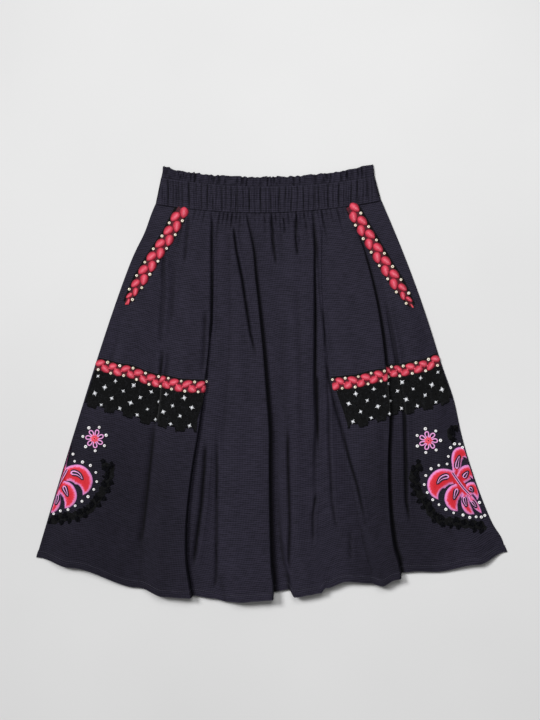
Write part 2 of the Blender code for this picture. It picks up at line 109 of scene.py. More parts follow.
def buildMesh(name, points, faces, uv=None, shade=None, scale=mm, change=None):
    mesh = bpy.data.meshes.new(name)
    mesh.from_pydata((np.asarray(points, float) * scale).tolist(), [], faces)
    if uv is not None:
        layer = mesh.uv_layers.new(name="cloth")
        corners = np.empty(len(mesh.loops), int)
        mesh.loops.foreach_get("vertex_index", corners)
        layer.data.foreach_set("uv", np.asarray(uv, np.float32)[corners].ravel())
    if shade is not None:
        darker = mesh.attributes.new("shade", "FLOAT", "POINT")
        darker.data.foreach_set("value", np.asarray(shade, np.float32))
    mesh.validate()
    if change is not None:
        made = bmesh.new()
        made.from_mesh(mesh)
        change(made)
        made.to_mesh(mesh)
        made.free()
    return mesh


def meshPiece(name, points, faces, material, uv=None, shade=None, sharp=55, **ways):
    mesh = buildMesh(name, points, faces, uv, shade, **ways)
    mesh.shade_smooth()
    mesh.set_sharp_from_angle(angle=math.radians(sharp))
    mesh.materials.append(material)
    piece = bpy.data.objects.new(name, mesh)
    scene.collection.objects.link(piece)
    return piece


def shellPiece(name, under, top, material, uv, shade=None):
    points = np.concatenate([top.reshape(-1, 3), under.reshape(-1, 3)])
    points[:, 2] = np.maximum(points[:, 2], 0.0)
    uv = np.concatenate([uv.reshape(-1, 2)] * 2)
    if shade is not None:
        shade = np.concatenate([shade.ravel()] * 2)
    return meshPiece(name, points, closedFaces(*top.shape[:2]), material, uv, shade)


def gridNormals(points, upward=True):
    normal = unit(np.cross(np.gradient(points, axis=0), np.gradient(points, axis=1)))
    return normal * np.sign(normal[:, :, 2:] + 1e-9) if upward else normal


def pathRuns(path):
    return np.concatenate([[0], np.cumsum(np.linalg.norm(np.diff(path, axis=0), axis=1))])


def rowRuns(grid):
    steps = np.linalg.norm(np.diff(grid, axis=1), axis=2)
    return np.concatenate([np.zeros((len(grid), 1)), np.cumsum(steps, axis=1)], axis=1)


def settle(piece, slot, *nodes):
    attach(piece, "root")
    if nodes:
        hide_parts(*nodes)
    return piece


# Lines and sizes that the solids have too, in mm, with X to the right and Y up the photo
skirt = {
    "cloth": 1.0,  # thickness
    "gap": 0.3,  # between front and back
    "length": 622.0,
    "hemFold": 0.8,  # added where the hem is turned up
    "hemLevel": 0.984,
    "waistHalf": 180.0,
    "waistSeam": (276.0, 16.5, 4.0),  # Y in the middle, bow and tilt
    "casingTop": (316.0, 16.5, 2.2),
    "ruffleTop": (330.0, 18.0, 3.6),
    "waistShift": (-1.5, 1.1),  # of the waist's ends from the front's
    "casingTaper": (12.0, 14.0),
    "casingRun": 57.0,
    # share of the width at the waist seam, and level of the pocket's foot
    "pockets": {"left": (0.087, 0.30), "right": (0.1015, 0.32)},
    "braidTop": 0.443,
    "foldsFull": 0.12,  # level where the folds have their full sharpness
    "lipReach": 5.5,
}

# Y, X of the left edge, X of the right edge
sideRows = (
    (289, -186, 175),
    (193, -226, 215),
    (78, -268, 254),
    (-38, -305, 290),
    (-95, -321, 305),
    (-153, -337, 321),
    (-191, -352, 336),
    (-230, -365, 356),
    (-276, -375, 377),
)

# name, share of the width at four levels, rise in mm at the same, Y of the hem, columns to the
# next, how sharp the bottom of the fold is, how far the lip leans over the fold beside it in mm
creaseRows = (
    ("sideLeft", (0.000, 0.000, 0.000, 0.000), (0.0, 0.0, 0.0, 0.0), -279, 24, 0.0, 0.0),
    ("swellLeft", (0.118, 0.085, 0.070, 0.070), (2.2, 4.5, 7.0, 8.5), -295, 24, 0.0, 0.0),
    ("dipLeft", (0.145, 0.172, 0.200, 0.215), (1.7, 1.6, 2.2, 2.6), -327, 18, 0.2, 0.0),
    ("rollLeft", (0.195, 0.250, 0.250, 0.270), (2.6, 7.5, 10.5, 12.5), -341, 18, 0.0, 0.0),
    ("lipA", (0.232, 0.300, 0.296, 0.319), (2.8, 7.5, 11.0, 15.0), -343, 16, 0.0, 5.0),
    ("seamLeft", (0.246, 0.315, 0.310, 0.332), (1.2, 1.4, 1.8, 2.6), -340, 12, 0.8, 0.0),
    ("crestB", (0.288, 0.356, 0.352, 0.376), (3.0, 4.6, 4.4, 5.4), -344, 10, 0.0, 0.0),
    ("dipB", (0.312, 0.378, 0.376, 0.402), (2.4, 4.2, 3.8, 4.6), -349, 12, 0.4, 0.0),
    ("crestC", (0.334, 0.412, 0.425, 0.436), (3.2, 9.0, 11.6, 14.0), -350, 9, 0.0, 1.0),
    ("dipC", (0.352, 0.435, 0.456, 0.464), (2.6, 8.6, 12.4, 15.0), -348, 10, 0.3, 0.0),
    ("lipD", (0.392, 0.465, 0.493, 0.492), (3.4, 11.0, 14.5, 17.0), -346, 12, 0.0, 6.5),
    ("troughD", (0.402, 0.477, 0.504, 0.503), (1.0, 1.6, 1.8, 1.8), -334, 6, 1.0, 0.0),
    ("valleyD", (0.428, 0.508, 0.526, 0.537), (1.6, 1.6, 1.8, 2.2), -330, 14, 0.2, 0.0),
    ("lipE", (0.520, 0.545, 0.545, 0.553), (1.2, 1.6, 4.0, 12.0), -342, 14, 0.0, -2.0),
    ("crestF", (0.600, 0.592, 0.577, 0.580), (2.8, 9.0, 12.0, 14.0), -338, 14, 0.0, 0.0),
    ("lipG", (0.684, 0.634, 0.609, 0.600), (3.2, 9.5, 11.0, 12.0), -335, 10, 0.0, 3.0),
    ("troughG", (0.700, 0.648, 0.624, 0.616), (1.0, 2.0, 8.2, 10.4), -327, 14, 0.8, 0.0),
    ("crestH", (0.726, 0.674, 0.664, 0.660), (2.8, 6.0, 9.0, 10.4), -317, 12, 0.0, 0.0),
    ("seamRight", (0.745, 0.682, 0.704, 0.712), (1.8, 3.8, 5.5, 6.5), -320, 20, 0.3, 0.0),
    ("rollRight", (0.800, 0.762, 0.744, 0.736), (2.6, 8.5, 11.5, 12.5), -324, 20, 0.0, 0.0),
    ("lipI", (0.838, 0.843, 0.800, 0.764), (2.4, 10.0, 12.0, 13.0), -313, 14, 0.0, 6.0),
    ("troughI", (0.852, 0.857, 0.814, 0.777), (1.3, 1.8, 1.8, 2.6), -303, 10, 0.9, 0.0),
    ("swellI", (0.864, 0.876, 0.838, 0.810), (1.8, 2.8, 3.0, 3.6), -301, 12, 0.0, 0.0),
    ("dipRight", (0.877, 0.896, 0.860, 0.848), (1.6, 2.0, 2.0, 2.4), -302, 16, 0.4, 0.0),
    ("swellRight", (0.889, 0.947, 0.940, 0.940), (2.0, 4.5, 6.5, 7.5), -290, 22, 0.0, 0.0),
    ("sideRight", (1.000, 1.000, 1.000, 1.000), (0.0, 0.0, 0.0, 0.0), -270, 0, 0.0, 0.0),
)
creaseNames = [row[0] for row in creaseRows]

# Thin gathers under the casing: X at the seam, length and depth in mm
waistGathers = (
    (-150, 26, 0.5), (-136, 47, 0.9), (-122, 30, 0.8), (-114, 14, 0.7), (-107, 22, 0.8),
    (-89.5, 14, 0.8), (-83, 38, 1.2), (-76.5, 22, 1.1), (-70, 18, 1.2), (-63.5, 30, 1.5),
    (-55.7, 18, 1.1), (-50.5, 26, 1.3), (-44.8, 16, 1.0), (-31.7, 14, 1.0), (-27, 24, 1.2),
    (-20, 18, 1.0), (-11.4, 36, 1.1), (-1, 62, 2.0), (5.7, 22, 1.2), (12.5, 42, 1.3),
    (18.7, 16, 1.1), (25, 26, 1.2), (31.5, 14, 1.0), (38, 64, 1.9), (45, 16, 1.1),
    (50.5, 42, 1.3), (57, 22, 1.1), (72, 26, 1.0), (78, 44, 1.2), (86, 18, 0.7),
    (92.6, 24, 0.8), (103, 40, 0.8), (112, 20, 0.6), (118.7, 54, 0.8), (140, 24, 0.5),
)

# Thin creases, listed one by one: depth, half width and roll beside it in mm, then X, Y along the
# line
creaseMarks = (
    (2.2, 2.0, 0.6, ((-134, 268), (-135.5, 253), (-138.4, 222), (-141.6, 186))),
    (4.2, 1.8, 1.2, ((-96.8, 270), (-96.8, 160), (-97.5, 100), (-101, 66))),
    (2.6, 2.4, 0.9, ((-173, 204), (-174.4, 190), (-173.6, 150), (-176.8, 101), (-180, 56))),
    (1.5, 2.2, 0.6, ((-157, 184), (-159, 150), (-162, 96))),
    (1.7, 3.0, 1.0, ((-106, 120), (-108, 80), (-109.5, 40), (-112, 8))),
    (3.4, 1.9, 2.4, ((-176, 56), (-179, 20), (-181, -20), (-184, -46), (-189, -70))),
    (1.6, 3.4, 0.6, ((-189, -60), (-196, -130), (-208, -230), (-214, -266))),
    (3.2, 1.9, 1.0, ((-64, 262), (-57, 210), (-48, 167), (-35, 81), (-24, 34))),
    (3.0, 1.7, 0.9, ((-1.5, 268), (2, 225), (6, 186))),
    (2.0, 1.6, 0.6, ((18, 268), (20, 236))),
    (2.6, 1.7, 0.9, ((37, 268), (38, 230), (41, 200))),
    (1.4, 1.9, 0.5, ((71, 246), (76, 150), (84, 80), (85, 44))),
    (1.9, 2.2, 0.6, ((84, 50), (90, 10), (100, -35), (112, -75), (124, -124), (136, -164),
                     (146, -210), (151, -244))),
    (1.5, 2.0, 0.5, ((86, 24), (90, -26), (91, -100), (94, -154), (95, -186), (100, -218),
                     (108, -250))),
    (1.7, 1.8, 0.6, ((72, 14), (72.4, -26), (73.6, -112))),
    (1.6, 2.0, 0.5, ((70, -176), (65, -210), (65, -262))),
    (1.4, 2.2, 0.5, ((123.8, -238), (125, -286))),
    (3.4, 2.2, 1.3, ((182, 130), (196, 60), (205, 0), (212, -54), (214, -124), (215, -190),
                     (222, -232))),
    (3.4, 3.0, 1.0, ((-107, -92), (-109, -137), (-114, -198), (-123, -264), (-128, -300))),
    (1.5, 2.2, 0.5, ((-88.8, -66), (-88.8, -222), (-90, -310), (-93, -332))),
    (2.1, 2.2, 0.7, ((24.8, -66), (25, -122), (27, -186), (28, -218), (26.4, -282), (29.6, -334))),
    (0.5, 5.0, 0.2, ((20, -176), (56, -166), (92, -150))),
    (0.5, 4.5, 0.2, ((58, -214), (96, -198), (132, -178))),
    (0.4, 5.0, 0.2, ((30, -250), (68, -244), (104, -236))),
    (0.5, 4.0, 0.2, ((112, -248), (142, -228), (168, -206))),
    (1.2, 5.0, 0.5, ((-282, -206), (-260, -236), (-236, -268))),
    (0.8, 4.0, 0.3, ((-256, 22), (-251, -10), (-246, -40))),
    (1.2, 5.0, 0.5, ((262, -202), (280, -230), (300, -258))),
    (1.3, 6.0, 0.5, ((38, 170), (43, 70), (44, -30), (50, -110))),
    (1.2, 5.0, 0.5, ((-250, 90), (-262, 20), (-270, -20))),
    (1.3, 6.0, 0.5, ((240, 60), (252, 0), (262, -40))),
    (1.2, 6.0, 0.5, ((176, -60), (182, -150), (186, -240))),
)


def stations(values, level):
    # one smooth curve through the four values at the waist, two levels between and the hem
    total = 0.0
    places = (0.0, 1 / 3, 2 / 3, 1.0)
    for i, value in enumerate(values):
        weight = 1.0
        for j, place in enumerate(places):
            if j != i:
                weight = weight * (level - place) / (places[i] - place)
        total = total + weight * value
    return total


def waistLine(x, line):
    middle, bow, tilt = line
    return middle + bow * (x / skirt["waistHalf"]) ** 2 + tilt * x / skirt["waistHalf"]


sideY, sideL, sideR = np.array(sideRows, float).T
edgeCurves = (np.polyfit(sideY / 100, sideL, 4), np.polyfit(sideY / 100, sideR, 4))
# small bulges of the side edges: Y, reach and shift in mm
sideBumps = (((242, 26, 3.2),), ((-26, 42, 4.0), (-247, 14, 3.4)))


def sideLine(index, y):
    x = np.polyval(edgeCurves[index], np.asarray(y) / 100)
    for middle, reach, shift in sideBumps[index]:
        x = x + shift * bell((y - middle) / reach)
    return x


def seamEnd(index):
    x = 0.0
    for _ in range(12):
        x = float(sideLine(index, waistLine(x, skirt["waistSeam"])))
    return x


seamEnds = [seamEnd(index) for index in (0, 1)]


def edgesAt(level):
    found = []
    for index, top, crease in zip((0, 1), seamEnds, (creaseRows[0], creaseRows[-1])):
        y = waistLine(top, skirt["waistSeam"]) * (1 - level) + crease[3] * level
        found.append(sideLine(index, y))
    return found


def pocketLine(side, level):
    atSeam, foot = skirt["pockets"][side]
    return max(0.0, atSeam * (1 - level / foot))


def frontRow(level, across):
    # underside of the front at one level: broad rolls, with narrow folds where a crease is sharp
    places = np.array([stations(row[1], level) for row in creaseRows])
    rises = np.array([stations(row[2], level) for row in creaseRows])
    hems = np.array([row[3] for row in creaseRows], float)
    sharp = np.array([row[5] for row in creaseRows])
    across = np.asarray(across, float)
    index = np.clip(np.searchsorted(places, across) - 1, 0, len(places) - 2)
    share = np.clip((across - places[index]) / (places[index + 1] - places[index]), 0, 1)
    left, right = edgesAt(level)
    toFull = min(1.0, level / skirt["foldsFull"])
    sharpHere = sharp[index] * toFull
    sharpNext = sharp[index + 1] * toFull
    soft = smooth(share)
    roll = soft * (1 - sharpHere - sharpNext)
    roll = roll + (1 - (1 - share) ** 2) * sharpHere + share**2 * sharpNext
    rise = rises[index] * (1 - roll) + rises[index + 1] * roll
    hem = hems[index] * (1 - soft) + hems[index + 1] * soft
    x = left + (right - left) * across
    for place, row in zip(places, creaseRows):
        if row[6]:
            x = x + row[6] * toFull * bell((across - place) * (right - left) / skirt["lipReach"])
    waistX = seamEnds[0] + (seamEnds[1] - seamEnds[0]) * across
    y = waistLine(waistX, skirt["waistSeam"]) * (1 - level) + hem * level
    return x, y, np.maximum(rise, 0.0)


def panelAcross(first, last, level, pocket):
    picked = creaseRows[creaseNames.index(first) : creaseNames.index(last) + 1]
    places = [stations(row[1], level) for row in picked]
    if pocket == "left":
        places[0] = pocketLine("left", level)
    if pocket == "right":
        places[-1] = 1 - pocketLine("right", level)
    found = []
    for row, here, after in zip(picked, places, places[1:]):
        found += [here + (after - here) * k / row[4] for k in range(row[4])]
    return np.array(found + [places[-1]])


def gatherRise(level, across):
    # thin gathers let into the waist seam, each with a small roll beside it
    waistX = seamEnds[0] + (seamEnds[1] - seamEnds[0]) * across
    down = level * 620
    total = 2.4 * np.exp(-down / 70) * (1 - np.exp(-down / 4)) * smooth((across - 0.1) * 9)
    total = total * smooth((0.93 - across) * 9)
    widen = 1 + down / 260
    for place, length, depth in waistGathers:
        fade = bell(down / length) * (0.4 + 0.6 * (1 - np.exp(-down / 3)))
        away = (waistX - place) / widen
        total = total - 2.2 * depth * fade * bell(away / 1.35)
        total = total + 0.55 * depth * fade * bell((away - 3.0) / 1.9)
    return total


def markRise(x, y):
    # listed creases, each a groove with a soft roll on either side
    total = np.zeros_like(x)
    for depth, half, roll, line in creaseMarks:
        line = np.array(line, float)
        nearest = np.full(x.shape, 1e9)
        along = np.zeros_like(x)
        turned = np.zeros_like(x)
        for k, (here, after) in enumerate(zip(line, line[1:])):
            way = after - here
            length = math.hypot(*way)
            part = np.clip(((x - here[0]) * way[0] + (y - here[1]) * way[1]) / length**2, 0, 1)
            gapX, gapY = x - here[0] - way[0] * part, y - here[1] - way[1] * part
            distance = np.hypot(gapX, gapY)
            closer = distance < nearest
            nearest = np.where(closer, distance, nearest)
            along = np.where(closer, (k + part) / (len(line) - 1), along)
            turned = np.where(closer, np.sign(gapY * way[0] - gapX * way[1]), turned)
        fade = smooth(along / 0.15 + 0.1) * smooth((1 - along) / 0.25 + 0.05)
        total = total - 1.35 * depth * fade * bell(nearest / (1.2 * half))
        beside = bell((nearest - 2.5 * half) / (1.5 * half))
        total = total + roll * fade * beside * (1 + 0.4 * turned)
    return total


def softWaves(x, y):
    # long shallow unevenness of cloth that was pressed and laid down by hand
    total = 0.35 * np.sin(x / 21 + 0.6 * np.sin(y / 60)) * np.sin(y / 83 + x / 140)
    total = total + 0.22 * np.sin(x / 11.5 + y / 95 + 1.3) * np.sin(y / 47 - x / 70)
    return total + 0.12 * np.sin(x / 6.1 + 0.8 * np.sin(y / 31)) * np.sin(y / 29 + 0.4)


hollow = {"step": 0.8, "around": 5, "free": 0.07}  # mm of sampling and reach, share with no tone


def spread(line, count, reach):
    weights = bell(np.arange(-count, count + 1) * hollow["step"] / reach)
    return np.convolve(np.pad(line, count, mode="edge"), weights / weights.sum(), "valid")


def hollowShade(x, rise, deep=1.5, blur=0.0):
    # painted shade: how far each place lies under its surroundings, for the darker colour painted
    # deep in a fold
    order = np.argsort(x)
    even = np.arange(x.min(), x.max(), hollow["step"])
    line = np.interp(even, x[order], rise[order])
    around = spread(line, 15, hollow["around"])
    low = np.clip((around - line - hollow["free"] * deep) / deep, 0, 1)
    if blur:
        low = np.clip(spread(low, 5, blur) * 1.3, 0, 1)
    return np.interp(x, even, low)


front = {
    "ends": {"left": ("sideLeft", "seamLeft"), "centre": ("seamLeft", "seamRight"),
             "right": ("seamRight", "sideRight")},
    "rows": 236,
    "seamTuck": (0.12, 0.3),  # the seam's edges lie inwards and down
    "hemStitch": (9.5, 1.6, 0.5),  # height over the hem, half width and depth of the dent
    "pocketRise": 1.45,  # over the facing, down to where the side seam starts
    "pocketPress": 0.25,
    "sideRoll": ((0.75, 1.45), (1.15, 1.0), (1.1, 0.55)),  # out and height of the rolled side edge
    # painted shade deep in the folds: how strong it is, and its blur in mm
    "tone": 0.88,
    "foldShadeBlur": 1.5,
}


def frontPanel(name):
    first, last = front["ends"][name]
    pocket = name if name in sides else None
    foot = skirt["pockets"][name][1] if pocket else 0
    levels = np.linspace(0, 1, front["rows"])
    length, half = skirt["length"], skirt["cloth"] / 2
    stitchUp, stitchHalf, stitchDeep = front["hemStitch"]
    middle, shades = [], []
    for level in levels:
        columns = panelAcross(first, last, level, pocket)
        x, y, rise = frontRow(level, columns)
        rise = rise + gatherRise(level, columns) + markRise(x, y) * smooth(level / 0.03)
        rise = rise * (0.05 + 0.95 * smooth(level * length / 5))
        edge = np.minimum(columns - columns[0], columns[-1] - columns) * (x[-1] - x[0] + 1)
        rise = rise + softWaves(x, y) * smooth(level / 0.05) * smooth(edge / 30)
        lowest = 0.0
        if pocket:
            lowest = front["pocketRise"] * (1 - float(smooth((level - 0.39) / 0.08)))
        fromStitch = ((1 - level) * length - stitchUp) / stitchHalf
        rise = rise - stitchDeep * bell(fromStitch) * smooth(rise / 2)
        rise = np.maximum(rise, lowest)
        z = rise + skirt["cloth"] + skirt["gap"] + half
        for column, seam in ((0, first != "sideLeft"), (-1, last != "sideRight")):
            if seam:
                x[column] += front["seamTuck"][0] * (1 if column == 0 else -1)
                z[column] -= front["seamTuck"][1]
        middle.append(np.stack([x, y, z], axis=1))
        # painted shade: the colour of the lower sides of the skirt is darkened, as if they turned
        # away from the light
        turned = smooth((np.abs(x) - 90) / 90) * smooth((level - 0.45) / 0.3)
        turned = turned * np.where(x < 0, 0.34, 0.3 - 0.2 * smooth((x - 250) / 70))
        # painted shadow: a dark line along the waist seam under the casing, added to the painted
        # shade of the folds and the lower sides
        seam = 0.8 * bell(level * length / 2.4)
        tone = front["tone"] * hollowShade(x, rise, blur=front["foldShadeBlur"]) + turned + seam
        shades.append(np.clip(tone, 0, 0.95))
    middle, shades = np.array(middle), np.array(shades)
    if pocket:
        # a pocket edge is pressed down, and a side edge rolls over to the back
        column, turn = (0, -1) if name == "left" else (-1, 1)
        middle[levels < foot, column, 2] -= front["pocketPress"]
        share = smooth((levels - foot + 0.01) / 0.03)
        rolled = []
        for out, height in front["sideRoll"]:
            rim = middle[:, column].copy()
            rim[:, 0] += turn * (0.02 + out * share)
            rim[:, 2] = rim[:, 2] * (1 - share) + height * share
            rolled.append(rim)
        rolled, count = np.stack(rolled, axis=1), len(rolled)
        if name == "left":
            middle = np.concatenate([rolled[:, ::-1], middle], axis=1)
        else:
            middle = np.concatenate([middle, rolled], axis=1)
        added = (count, 0) if name == "left" else (0, count)
        shades = np.pad(shades, ((0, 0), added), mode="edge")
    normal = gridNormals(middle, upward=False)
    fold = skirt["hemFold"] * smooth((levels - skirt["hemLevel"] + 0.003) / 0.004)
    run = rowRuns(middle)
    drop = np.broadcast_to(levels[:, None] * length, run.shape)
    uv = np.stack([run - run[:, middle.shape[1] // 2][:, None], -drop], axis=2) * mm
    return {"levels": levels, "top": middle + normal * (half + fold[:, None, None]), "uv": uv,
            "under": middle - normal * half, "normal": normal, "run": run, "shade": shades}


panels = {name: frontPanel(name) for name in front["ends"]}
print("front panels laid out")


def startMaterial(name, roughness, sheen=0.0, specular=0.35, coat=0.0):
    material = bpy.data.materials.new(name)
    material.use_nodes = True
    shader = material.node_tree.nodes["Principled BSDF"]
    for socket, value in (("Roughness", roughness), ("Sheen Weight", sheen),
                          ("Sheen Roughness", 0.5), ("Specular IOR Level", specular),
                          ("Coat Weight", coat)):
        shader.inputs[socket].default_value = value
    return material, material.node_tree, shader


def paint(tree, shader, tone, stops, height, strength, depth, light=None):
    # the tone picks a colour between the stops, painted shade darkens it, and the height gives
    # relief
    ramp = addNode(tree, "ShaderNodeValToRGB", {"Fac": tone})
    elements = ramp.color_ramp.elements
    for index, (place, hexText) in enumerate(stops):
        element = elements[index] if index < 2 else elements.new(place)
        element.position = place
        element.color = linearColour(hexText)
    if light is not None:
        ramp = addNode(tree, "ShaderNodeVectorMath", {0: ramp, "Scale": light}, operation="SCALE")
    bump = addNode(tree, "ShaderNodeBump", {"Height": height, "Strength": strength,
                                            "Distance": depth})
    tree.links.new(ramp.outputs[0], shader.inputs["Base Color"])
    tree.links.new(bump.outputs[0], shader.inputs["Normal"])


def cottonMaterial():
    # Charcoal navy slub cotton, plain woven: matt, with a faint check of thicker threads every
    # 2.6 mm. The real threads, about 0.4 mm, are too fine to show: only the thicker ones are drawn.
    material, tree, shader = startMaterial("slubCotton", 0.8, sheen=0.03, specular=0.1)
    cloth = addNode(tree, "ShaderNodeUVMap", uv_map="cloth")
    warp = addNode(tree, "ShaderNodeTexWave", {"Vector": cloth, "Scale": 120.0, "Distortion": 1.2,
                   "Detail": 2.0, "Detail Scale": 2.0}, bands_direction="X")
    weft = addNode(tree, "ShaderNodeTexWave", {"Vector": cloth, "Scale": 105.0, "Distortion": 1.6,
                   "Detail": 2.0, "Detail Scale": 2.5}, bands_direction="Y")
    slubPlace = addNode(tree, "ShaderNodeMapping", {"Vector": cloth, "Scale": (75.0, 360.0, 1.0)})
    slub = addNode(tree, "ShaderNodeTexNoise", {"Vector": slubPlace, "Scale": 1.0, "Detail": 2.0})
    cloudy = addNode(tree, "ShaderNodeTexNoise", {"Vector": cloth, "Scale": 26.0, "Detail": 3.0})
    threads = addNode(tree, "ShaderNodeMath", {0: weft.outputs["Fac"], 1: 1.5,
                      2: warp.outputs["Fac"]}, operation="MULTIPLY_ADD")
    slubbed = addNode(tree, "ShaderNodeMath", {0: slub, 1: 2.4, 2: threads},
                      operation="MULTIPLY_ADD")
    tone = addNode(tree, "ShaderNodeMath", {0: cloudy, 1: 0.9, 2: slubbed},
                   operation="MULTIPLY_ADD")
    share = addNode(tree, "ShaderNodeMath", {0: tone, 1: 0.2}, operation="MULTIPLY")
    # painted shade: the shade attribute darkens the colour deep in folds, where the light hardly
    # reaches the cloth, and also along the waist seam and on the lower sides
    depth = addNode(tree, "ShaderNodeAttribute", attribute_name="shade")
    lit = addNode(tree, "ShaderNodeMath", {0: depth.outputs["Fac"], 1: -0.92, 2: 1.0},
                  operation="MULTIPLY_ADD")
    paint(tree, shader, share, ((0.38, "#14131b"), (0.76, "#2e2b39")), slubbed, 0.35, 0.00022, lit)
    shader.inputs["Sheen Tint"].default_value = linearColour("#8f8fb0")
    return material


def satinMaterial(name, stops, threads=900.0):
    # Rayon satin stitch: silky, the threads lie side by side across each shape. The ramp runs from
    # the middle of a stitched shape to its edge. Threads are drawn about 0.7 mm apart.
    material, tree, shader = startMaterial(name, 0.6, sheen=0.06, specular=0.25)
    cloth = addNode(tree, "ShaderNodeUVMap", uv_map="cloth")
    parts = addNode(tree, "ShaderNodeSeparateXYZ", {0: cloth})
    rim = addNode(tree, "ShaderNodeMath", {0: parts.outputs[1]}, operation="ABSOLUTE")
    place = addNode(tree, "ShaderNodeTexCoord").outputs["Object"]
    patchy = addNode(tree, "ShaderNodeTexNoise", {"Vector": place, "Scale": 330.0, "Detail": 2.0})
    uneven = addNode(tree, "ShaderNodeMath", {0: patchy, 1: 0.42, 2: rim},
                     operation="MULTIPLY_ADD")
    thread = addNode(tree, "ShaderNodeTexWave", {"Vector": cloth, "Scale": threads,
                     "Distortion": 2.0, "Detail": 1.0}, bands_direction="X").outputs["Fac"]
    ribbed = addNode(tree, "ShaderNodeMath", {0: thread, 1: 0.16, 2: uneven},
                     operation="MULTIPLY_ADD")
    centred = addNode(tree, "ShaderNodeMath", {0: ribbed, 1: 0.29}, operation="SUBTRACT")
    paint(tree, shader, centred, stops, thread, 0.5, 0.0003)
    return material


def plainMaterial(name, dark, light, roughness, grain, depth=0.0002, **more):
    # Thread, glass, chenille and paper: two close tones in fine grains
    material, tree, shader = startMaterial(name, roughness, **more)
    place = addNode(tree, "ShaderNodeTexCoord").outputs["Object"]
    noise = addNode(tree, "ShaderNodeTexNoise", {"Vector": place, "Scale": grain, "Detail": 3.0})
    paint(tree, shader, noise, ((0.35, dark), (0.65, light)), noise, 0.5, depth)
    return material


def laceMaterial():
    # Black cotton net lace: matt and soft, with round holes about 2.5 mm across that let a little
    # of the navy cloth through, drawn as a paler tone in the middle of each hole.
    material, tree, shader = startMaterial("cottonNetLace", 0.95, sheen=0.12, specular=0.12)
    cloth = addNode(tree, "ShaderNodeUVMap", uv_map="cloth")
    holes = addNode(tree, "ShaderNodeTexVoronoi", {"Vector": cloth, "Scale": 380.0,
                    "Randomness": 0.55})
    fluff = addNode(tree, "ShaderNodeTexNoise", {"Vector": cloth, "Scale": 130.0, "Detail": 4.0})
    mixed = addNode(tree, "ShaderNodeMath", {0: fluff, 1: 0.9, 2: holes},
                    operation="MULTIPLY_ADD")
    paint(tree, shader, mixed, ((0.5, "#17181b"), (0.95, "#060607")), mixed, 0.8, 0.0006)
    return material


cotton = cottonMaterial()
lace = laceMaterial()
# painted highlight: the coral petals are lighter in the middle, on the padded crown, and darker
# towards the edge
coralSatin = satinMaterial("coralSatinPetal", (
    (0.0, "#e67485"), (0.25, "#d94a5f"), (0.6, "#c22c44"), (0.9, "#861629")))
leafSatin = satinMaterial("redSatinLeaf", (
    (0.0, "#c81826"), (0.57, "#d7283a"), (0.66, "#e2507a"), (0.75, "#ea7fb2"), (0.88, "#e092cb"),
    (1.0, "#b468ad")), threads=500.0)
maroonCord = plainMaterial("maroonCord", "#2c0a14", "#5c1424", 0.85, 700.0)
navyThread = plainMaterial("navyThread", "#0e0c18", "#1c1930", 0.8, 900.0)
lilacThread = plainMaterial("lilacThread", "#d57fc4", "#f4b2e4", 0.55, 700.0, sheen=0.2)
coralThread = plainMaterial("coralThread", "#d2203c", "#ee5a70", 0.55, 800.0, sheen=0.2)
redThread = plainMaterial("redThread", "#c8283c", "#ea4a55", 0.55, 800.0, sheen=0.2)
# Pearl glass bead, tumbled: glossy, cream with a trace of gold
pearlBead = plainMaterial("pearlGlassBead", "#d9c9a2", "#fffaf0", 0.22, 420.0, coat=0.5)
# Opaque white glass, the same seed beads round the stars and leaves
whiteBead = plainMaterial("whiteGlassBead", "#e2dfe0", "#ffffff", 0.25, 420.0, coat=0.5)
# Silvered metal thread of the star stitches: paler, slightly glossy
silverThread = plainMaterial("silverThread", "#b9bcc2", "#f6f7fa", 0.35, 900.0)
# Black chenille of the tufted edging: no gloss at all
chenille = plainMaterial("blackChenille", "#08080a", "#15151a", 1.0, 500.0, 0.0006,
                         specular=0.05)
# Matching sewing thread, a little paler than the cloth
sewingThread = plainMaterial("navySewingThread", "#23222c", "#3d3b49", 0.7, 800.0)


def clothPiece(nodeName, under, top, uv, shade=None):
    piece = shellPiece(nodeName + "_cloth", under, top, cotton, uv, shade)
    return settle(piece, "cotton", nodeName)


panelPieces = {}
for name, nodeName in (("left", "front_side_left"), ("centre", "front_centre"),
                       ("right", "front_side_right")):
    panel = panels[name]
    piece = clothPiece(nodeName, panel["under"], panel["top"], panel["uv"], panel["shade"])
    panelPieces[name] = piece
    surface = panel["run"][:, -1]
    print(name, "panel", len(piece.data.polygons), "faces, row length at the waist and hem",
          round(float(surface[0])), round(float(surface[-1])))
print("front panels made")


class Ground:
    # the top of a front panel, to drop trims on
    def __init__(self, panel):
        points = [Vector(p) for p in panel["top"].reshape(-1, 3)]
        self.tree = BVHTree.FromPolygons(points, gridFaces(*panel["top"].shape[:2]))

    def height(self, x, y):
        found = self.tree.ray_cast(Vector((x, y, 60)), Vector((0, 0, -1)))[0]
        if found is None:
            found = self.tree.find_nearest(Vector((x, y, 5)))[0]
        return found.z


grounds = {side: Ground(panels[side]) for side in sides}


def waistEnds(line):
    up = (line[0] - skirt["waistSeam"][0]) / skirt["casingRun"]
    return np.array((seamEnds[0] + skirt["waistShift"][0] + skirt["casingTaper"][0] * up,
                     seamEnds[1] + skirt["waistShift"][1] - skirt["casingTaper"][1] * up))


def waistPlan(lower, upper, rows, columns):
    # X and Y of a strip between two lines of the waist, from its top row down
    plan = []
    for share in np.linspace(0, 1, rows):
        ends = waistEnds(lower) * (1 - share) + waistEnds(upper) * share
        xs = np.linspace(ends[0], ends[1], columns)
        ys = waistLine(xs, lower) * (1 - share) + waistLine(xs, upper) * share
        plan.append(np.stack([xs, ys], axis=1))
    plan = np.array(plan)[::-1]
    return plan[:, :, 0], plan[:, :, 1]


def clothUv(middle):
    run = rowRuns(middle)
    drop = np.linalg.norm(np.diff(middle, axis=0), axis=2).mean(axis=1)
    drop = np.concatenate([[0], np.cumsum(drop)])[:, None] + run * 0
    return np.stack([run - run[:, -1:] / 2, -drop], axis=2) * mm


